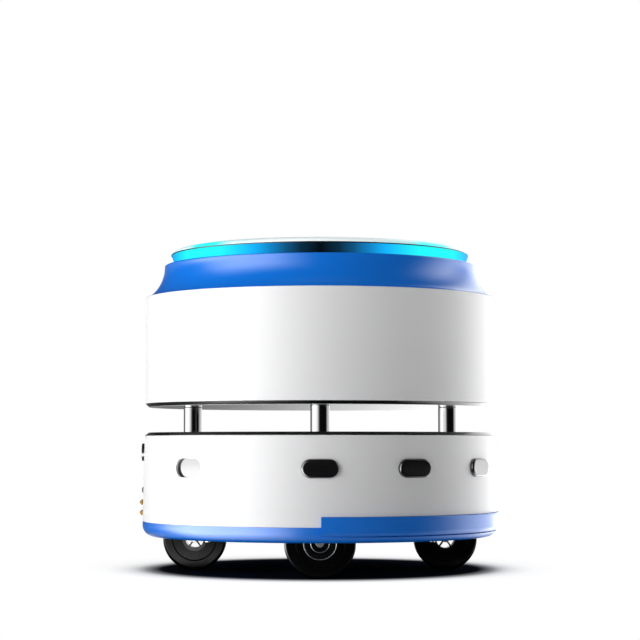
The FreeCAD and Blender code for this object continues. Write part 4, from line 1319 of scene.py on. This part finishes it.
low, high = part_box("payload_plate")
step_top = high.z - CAP_WALL
disc = rounded(
    [
        (0, low.z),
        (high.x, low.z, FINE_EDGE),
        (high.x, step_top),
        (high.x - PLATE_STEP, step_top),
        (high.x - PLATE_STEP, high.z, HOLE_EDGE),
        (0, high.z),
    ]
)
drill = [
    (0, 0),
    (HOLE_RADIUS, 0),
    (HOLE_RADIUS, high.z - HOLE_EDGE),
    (HOLE_RADIUS + 2 * HOLE_EDGE, high.z + HOLE_EDGE),
    (0, high.z + HOLE_EDGE),
]
spots = [on_ring(HOLE_CIRCLE, quarter) for quarter in range(4)]
holes = [lathe("hole", drill, centre=spot, turns=BORE_TURNS) for spot in spots]
dress("payload_top", carve(lathe("disc", disc), holes), "chassis", "payload_top", "payload_plate")

# %% [markdown]
# ## Windows
# Six windows are polished blocks with round ends that stand proud of the wall; their rim is rounded over,
# and that rounding is where they catch the light. Two more, at the rear quarters, are flat plates set
# back behind their openings. A block could be bevelled, but laying the rim's rounding as rings of one
# outline gives clean, even steps. The ring pattern turns each kind round the drum.

# %% Window blocks
RIM_STEPS = 6
RIM_GUARD = 1.3
BLOCK_STEPS = 16
LIP = 4.0 * MM
LIP_DEPTH = 2.5 * MM
SEAT_GAP = 0.3 * MM
WINDOW_RIM = 3.0 * MM
REAR_RIM = 0.3 * MM
WINDOW_STEP = math.radians(30)
REAR_START = math.radians(135)


def block(name, size, back, face, z, rim):
    """A closed block along X with round ends and a rounded front rim."""
    corner = arc((rim, face - rim), rim, math.pi, QUARTER, RIM_STEPS)
    rings = [(0, back), (0, face - RIM_GUARD * rim), *corner, (RIM_GUARD * rim, face)]
    return obround_bar(name, size, rings, z, BLOCK_STEPS)


def window(size, face, z, rim):
    """A window along X, as its block and the wider plate that seats it inside the curved wall."""
    inside = wall_radius(z) - WALL
    seat = math.sqrt(inside ** 2 - (size[0] / 2 + LIP) ** 2) - SEAT_GAP
    wider = [side + 2 * LIP for side in size]
    plate = block("plate", wider, seat - LIP_DEPTH, seat, z, FINE_EDGE)
    return block("block", size, seat - LIP_DEPTH, face, z, rim), plate


raised, inset = window(WINDOW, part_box("sensor_windows")[1].y, window_z, WINDOW_RIM)
raised = joined("raised", [raised, inset])
fan = {"Count": 3, "Radius": 0.0, "Step": WINDOW_STEP}
starts = (WINDOW_STEP, -3 * WINDOW_STEP)
windows = [repeated(ring_tree, raised, "window_black", Start=start, **fan) for start in starts]
rear_pair = {"Count": 2, "Radius": 0.0, "Start": REAR_START, "Step": QUARTER}
windows.append(repeated(ring_tree, inset, "window_black", **rear_pair))
dress("window_blocks", joined("windows", windows), "chassis", "window_black", "sensor_windows")

rear = joined("rear", window(REAR_WINDOW, -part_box("rear_window")[0].x, rear_z, REAR_RIM))
rear.transform(Matrix.Rotation(math.pi, 4, "Z"))
dress("rear_window_block", rear, "chassis", "window_black", "rear_window")

# %% [markdown]
# ## Contacts and button
# The two charging strips are brass, with a raised ridge that meets the dock. The button is a small domed
# pin in a barrel. Strips and barrel keep the frame's solids with broken edges; the pin is turned, and its
# hidden end stops a hair short so that a full press leaves it room.

# %% Contacts and button
STRIP_EDGE = 0.5 * MM
BARREL_EDGE = 0.25 * MM
BUTTON_DOME = 1.07 * MM
BUTTON_ROOM = 0.3 * MM

edged("charge_strips", "charge_contacts", "chassis", "contact_brass", STRIP_EDGE, steps=3)
edged("button_barrel", "button_switch", "chassis", "dark_plastic", BARREL_EDGE)

low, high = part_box("power_button")
length = high.x - low.x
radius = (high.z - low.z) / 2
pin = rounded(
    [
        (0, BUTTON_ROOM),
        (radius, BUTTON_ROOM, FINE_EDGE),
        (radius, length, BUTTON_DOME),
        (0, length),
    ]
)
mesh = lathe("button_pin", pin, (-1, 0, 0), (high.x, button.y, button.z), PIN_TURNS)
dress("button_pin", mesh, "power_button", "black_trim", "power_button")

# %% [markdown]
# ## Pan and bumper
# The blue pan hangs under the lower drum and rolls under with a generous corner. Its front wall is set
# back to make room for the bumper, a half ring that slides back on two pins. Bending sheets round this
# corner would be guesswork. Turning the section and then cutting it, in the order a moulder would think
# of it, keeps one clean surface: outside, front recess, inside, and last the wells for the wheels. The
# bumper's lower edge rolls under and stops a little above the pan's ledge, which leaves the dark line
# below it.

# %% Outside and inside of the pan
PAN_CORNER = 16.0 * MM
CORNER_STEPS = 16
RECESS = 5.0 * MM
PAN_LEDGE = 8.0 * MM
OVER = 3.0 * MM

pan_low, pan_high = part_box("base_pan")
pan_radius = -pan_low.x
corner = (pan_radius - PAN_CORNER, pan_low.z + PAN_CORNER)


def turned_pan(inset, shift=0.0):
    """The pan's round-bottomed outline, filled, moved in by a wall and back by a shift."""
    foot = pan_low.z + inset
    top = pan_high.z + OVER
    start = [(0, foot), (corner[0] - OVER, foot)]
    end = [(pan_radius - inset, top), (0, top)]
    turn = arc(corner, PAN_CORNER - inset, -QUARTER, 0, CORNER_STEPS)
    mesh = lathe("pan", start + turn + end)
    mesh.transform(Matrix.Translation((-shift, 0, 0)))
    return mesh


print("pan: radius", round(pan_radius / MM, 2), "mm, corner", PAN_CORNER / MM, "mm")

# %% Pan
STEP_PLANE = 1.5 * MM
HALVES_OVERLAP = 0.01 * MM
CASTER_PIVOT = 153.0 * MM
CASTER_WELL = 76.2 * MM
WHEEL_WELL = ((-56.0 * MM, 167.0 * MM), (56.0 * MM, 213.0 * MM))
MOTOR_WELL = ((-28.0 * MM, 54.0 * MM), (28.0 * MM, 170.0 * MM))
PIN_SPREAD = 100.0 * MM
PASSAGE = 8.5 * MM
SCREW_CIRCLE = 215.0 * MM
BOSS_START = 205.0 * MM
SCREW_HOLE = 2.25 * MM
SCREW_TURNS = 32

pin_z = (pan_low.z + PAN_LEDGE + pan_high.z) / 2
above = pan_high.z + 2 * OVER
front_low = (STEP_PLANE, -reach, pan_low.z + PAN_LEDGE)
front = carve(bar("front", front_low, (reach, reach, pan_high.z + OVER / 2)), [turned_pan(0, RECESS)])
rear = bar("rear", (-reach, -reach, wall_foot), (STEP_PLANE, reach, above))
lid = bar("lid", (-reach, -reach, pan_high.z), (reach, reach, above))
meeting = -RECESS / 2
rear_half = bar("half", (-reach, -reach, 0), (meeting + HALVES_OVERLAP, reach, TALL))
front_half = bar("half", (meeting, -reach, 0), (reach, reach, TALL))
rear_room = carve(turned_pan(WALL), [rear_half], "INTERSECT")
front_room = carve(turned_pan(WALL, RECESS), [front_half], "INTERSECT")

well_foot = pan_low.z - OVER
well_top = pan_low.z + WALL + OVER
depth = well_top - well_foot
wells = []
for side in (-1, 1):
    wells.append(rod(CASTER_WELL, (side * CASTER_PIVOT, 0, well_foot), depth, turns=WHEEL_TURNS))
    wells.append(rod(PASSAGE, (BOSS_START, side * PIN_SPREAD, pin_z), reach, (1, 0, 0)))
for quarter in range(4):
    start = on_ring(SCREW_CIRCLE, quarter + 0.5, well_foot)
    wells.append(rod(SCREW_HOLE, start, depth, turns=SCREW_TURNS))
channels = []
for low, high in (WHEEL_WELL, MOTOR_WELL):
    left = bar("well", (*low, well_foot), (*high, well_top))
    right = left.copy()
    right.transform(Matrix.Rotation(math.pi, 4, "Z"))
    channels += [left, right]
cuts = [front, rear, lid, rear_room, front_room, joined("wells", wells), *channels]
dress("belly_pan", carve(turned_pan(0), cuts), "chassis", "blue_trim", "base_pan")

# %% Bumper
BEHIND_BUMPER = 0.4 * MM
BUMPER_EDGE = 1.5 * MM
EDGE_STEPS = 6
BUMPER_LIFT = 0.8 * MM
LIP_ROUND = 9.0 * MM
LIP_TURN = math.radians(56)
BOSS_RADIUS = 7.0 * MM

sleeve_low, sleeve_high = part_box("bumper_springs")
bumper_radius = bumper_high.x
foot = bumper_low.z + BUMPER_LIFT
lip_centre = (bumper_radius - LIP_ROUND, foot + LIP_ROUND * math.sin(LIP_TURN))
edge_centre = (bumper_radius - BUMPER_EDGE, bumper_high.z - BUMPER_EDGE)
inner_round = PAN_CORNER + BEHIND_BUMPER
lip = arc(lip_centre, LIP_ROUND, -LIP_TURN, 0, CORNER_STEPS)
edge = arc(edge_centre, BUMPER_EDGE, 0, QUARTER, EDGE_STEPS)
back = arc(corner, inner_round, 0, math.asin((foot - corner[1]) / inner_round), CORNER_STEPS)
face = [(bumper_radius, corner[1] + OVER), (bumper_radius, edge[0].y - BUMPER_EDGE)]
flat = [(edge[-1].x - BUMPER_EDGE / 2, bumper_high.z), (back[0].x, bumper_high.z)]
behind = bar("behind", (-reach, -reach, 0), (bumper_low.x, reach, TALL))
pieces = [carve(lathe("skin", lip + face + edge + flat + back), [behind])]
core = rod(bumper_radius - WALL / 4, (0, 0, 0), TALL, turns=TURNS)
for side in (-1, 1):
    start = (sleeve_high.x, side * PIN_SPREAD, pin_z)
    boss = rod(BOSS_RADIUS, start, reach - sleeve_high.x, (1, 0, 0), PIN_TURNS)
    pieces.append(carve(boss, [core], "INTERSECT"))
dress("bumper_skin", joined("bumper", pieces), "front_bumper", "blue_trim", "front_bumper")

# %% [markdown]
# ## Bumper sleeves
# Two rubber sleeves around the pins push the bumper back out. They stay on the chassis and shorten as the
# bosses come towards them. Here a copy of the frame's sleeves is dressed with a mesh of its own.

# %% Bumper sleeves
mesh = merged_copy("bumper_springs")
sleeves = dress("bumper_sleeves", mesh, "chassis", "spring_rubber", "bumper_springs")
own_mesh(sleeves)

# %% [markdown]
# ## Screws underneath
# Socket screws hold the pan, the casters and the motor brackets. One screw of each size is turned, with a
# six-sided socket in its head, and the patterns set them out: the pan's on a ring, the others on grids.

# %% Screws
# Radii of a screw's shank and head.
PAN_SCREW = (2.0 * MM, 4.2 * MM)
PLATE_SCREW = (3.0 * MM, 5.0 * MM)
PLATE_HEAD = 4.0 * MM
CASTER_GRID = (60.0 * MM, 50.0 * MM)
BRACKET_GRID = (30.0 * MM, 298.0 * MM)
SOCKET_SHARE = 0.52
SOCKET_DEPTH = 0.55
HEAD_EDGE = 0.12


def socket_screw(name, radii, length, height):
    """A screw along Z whose head hangs below zero, with a hexagon socket."""
    shank, head = radii
    edge = head * HEAD_EDGE
    socket = head * SOCKET_SHARE
    floor_z = -height * (1 - SOCKET_DEPTH)
    section = rounded(
        [
            (0, length),
            (shank, length, edge),
            (shank, 0),
            (head, 0),
            (head, -height, edge),
            (socket, -height),
            (socket, floor_z),
            (0, floor_z),
        ]
    )
    count = len(section)
    return lathe(name, section, turns=BORE_TURNS, hexagons=(count - 3, count - 2))


def four_screws(screw, grid, x, z):
    """Copies of a screw at the four corners of a grid."""
    sizes = {"Columns": 2, "Rows": 2, "Length": grid[0], "Width": grid[1]}
    return repeated(grid_tree, screw, "steel", (x, 0, z), **sizes)


low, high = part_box("pan_screws")
screw = socket_screw("pan_screw", PAN_SCREW, high.z - pan_low.z, pan_low.z - low.z)
ring = {"Count": 4, "Radius": SCREW_CIRCLE, "Start": QUARTER / 2, "Step": QUARTER}
screws = repeated(ring_tree, screw, "steel", (0, 0, pan_low.z), **ring)
dress("pan_screw_set", screws, "chassis", "steel", "pan_screws")

low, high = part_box("caster_screws")
seat_z = low.z + PLATE_HEAD
screw = socket_screw("plate_screw", PLATE_SCREW, high.z - seat_z, PLATE_HEAD)
screws = [four_screws(screw, CASTER_GRID, side * CASTER_PIVOT, seat_z) for side in (-1, 1)]
dress("caster_screw_set", joined("caster_screws", screws), "chassis", "steel", "caster_screws")
screws = four_screws(screw, BRACKET_GRID, 0, seat_z)
dress("bracket_screw_set", screws, "chassis", "steel", "bracket_screws")

# %% [markdown]
# ## Tyres
# Solid rubber tyres with round shoulders, a fine ring groove on each side and two grooves round the
# tread. The corners of the grooves are softened, because rubber leaves a mould with soft edges and they
# draw thin highlights.

# %% Tyres
SHOULDER = 3.5 * MM
SIDE_GROOVE = 1.6 * MM
TREAD_GROOVE = 1.2 * MM
TREAD_SPACING = 12.0 * MM
SOFT_EDGE = 0.3 * MM
DRIVE_GROOVE = 33.0 * MM
CASTER_GROOVE = 31.0 * MM


def tyre(name, node, hub, groove, body):
    """A tyre turned about its axle, with its place and sizes from the frame."""
    low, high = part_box(node)
    hub_low, hub_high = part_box(hub)
    outer = (high.z - low.z) / 2
    inner = (hub_high.z - hub_low.z) / 2
    half = (high.y - low.y) / 2
    side = [
        (inner, half, SOFT_EDGE),
        (groove - SIDE_GROOVE / 2, half, SOFT_EDGE),
        (groove, half - SIDE_GROOVE / 2),
        (groove + SIDE_GROOVE / 2, half, SOFT_EDGE),
        (outer, half, SHOULDER),
    ]
    tread = []
    for place in (TREAD_SPACING / 2, -TREAD_SPACING / 2):
        tread.append((outer, place + TREAD_GROOVE, SOFT_EDGE))
        tread.append((outer - TREAD_GROOVE, place))
        tread.append((outer, place - TREAD_GROOVE, SOFT_EDGE))
    other = [(radius, -across, *fillet) for radius, across, *fillet in side[::-1]]
    mesh = lathe(name, rounded(side + tread + other), (0, 1, 0), (low + high) / 2, WHEEL_TURNS)
    dress(name, mesh, body, "tyre_rubber", node)


for kind, sides, groove in (
    ("drive", ("left", "right"), DRIVE_GROOVE),
    ("caster", ("front", "rear"), CASTER_GROOVE),
):
    for side in sides:
        tyre(
            f"{kind}_rubber_{side}",
            f"{kind}_tyre_{side}",
            f"{kind}_hub_{side}",
            groove,
            f"{kind}_wheel_{side}",
        )

# %% [markdown]
# ## Hubs, shafts, forks and the drive
# Machined and moulded pieces keep the frame's solids and get their edges broken, each by what its process
# leaves: most on the big moulded hubs, half a millimetre on turned and cast pieces, less on small hubs
# and on sheet. Two steel beads are turned for each drive hub, where the tyre meets it and round its
# openings, because they draw the thin bright rings.

# %% Hubs, shafts, forks and the drive
HUB_EDGE = 0.6 * MM
TURNED_EDGE = 0.5 * MM
CAST_EDGE = 0.5 * MM
SMALL_EDGE = 0.4 * MM
SHEET_EDGE = 0.4 * MM
HUB_BEAD = 0.55 * MM
INNER_BEAD = 12.4 * MM
BEAD_STEPS = 16


def hub_beads(node, out):
    """Two rings of round wire on the side of a hub that shows, along its edge and round its openings."""
    low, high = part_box(node)
    edge = (high.z - low.z) / 2 - HUB_BEAD
    face = out * (high.y - low.y) / 2
    beads = []
    for ring in (edge, INNER_BEAD):
        wire = arc((ring, face), HUB_BEAD, 0, 2 * math.pi, BEAD_STEPS)[:-1]
        beads.append(lathe("bead", wire, (0, 1, 0), (low + high) / 2, POST_TURNS))
    return joined("beads", beads)


for side, out in (("left", 1), ("right", -1)):
    hub = "drive_hub_" + side
    wheel = "drive_wheel_" + side
    edged("drive_core_" + side, hub, wheel, "wheel_core", HUB_EDGE, steps=3)
    dress("drive_beads_" + side, hub_beads(hub, out), wheel, "steel")
    edged("drive_axle_" + side, "drive_shaft_" + side, wheel, "steel", TURNED_EDGE, steps=3)
    edged("gear_motor_" + side, "gearmotor_" + side, "chassis", "motor_case", CAST_EDGE)
    edged("motor_angle_" + side, "motor_bracket_" + side, "chassis", "motor_case", SHEET_EDGE)
for end in ("front", "rear"):
    wheel = "caster_wheel_" + end
    swivel = "caster_swivel_" + end
    edged("caster_core_" + end, "caster_hub_" + end, wheel, "wheel_core", SMALL_EDGE, steps=3)
    edged("caster_yoke_" + end, "caster_fork_" + end, swivel, "motor_case", CAST_EDGE)
    edged("caster_bolt_" + end, "caster_axle_" + end, swivel, "steel", TURNED_EDGE)
    edged("caster_base_" + end, "caster_plate_" + end, "chassis", "steel", SHEET_EDGE)

# %% [markdown]
# ## Nodes that stay
# What is sealed inside keeps the frame's own mesh and only gets its finish, by its material slots.

# %% Finish the nodes that stay
kept = 0
for subpart in frame["record"]["subparts"]:
    node = frame["nodes"][subpart["node"]]
    node.data.materials.clear()
    node.data.materials.append(FINISHES[subpart["material_slot"]])
    kept += not node.hide_render
print("nodes that stay:", kept)

# %% [markdown]
# ## Sizes and the end
# The dressed robot has to keep the frame's box, so its size is printed at the end.

# %% Sizes
low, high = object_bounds()
print("size:", [round((b - a) * 1000, 2) for a, b in zip(low, high)], "mm")
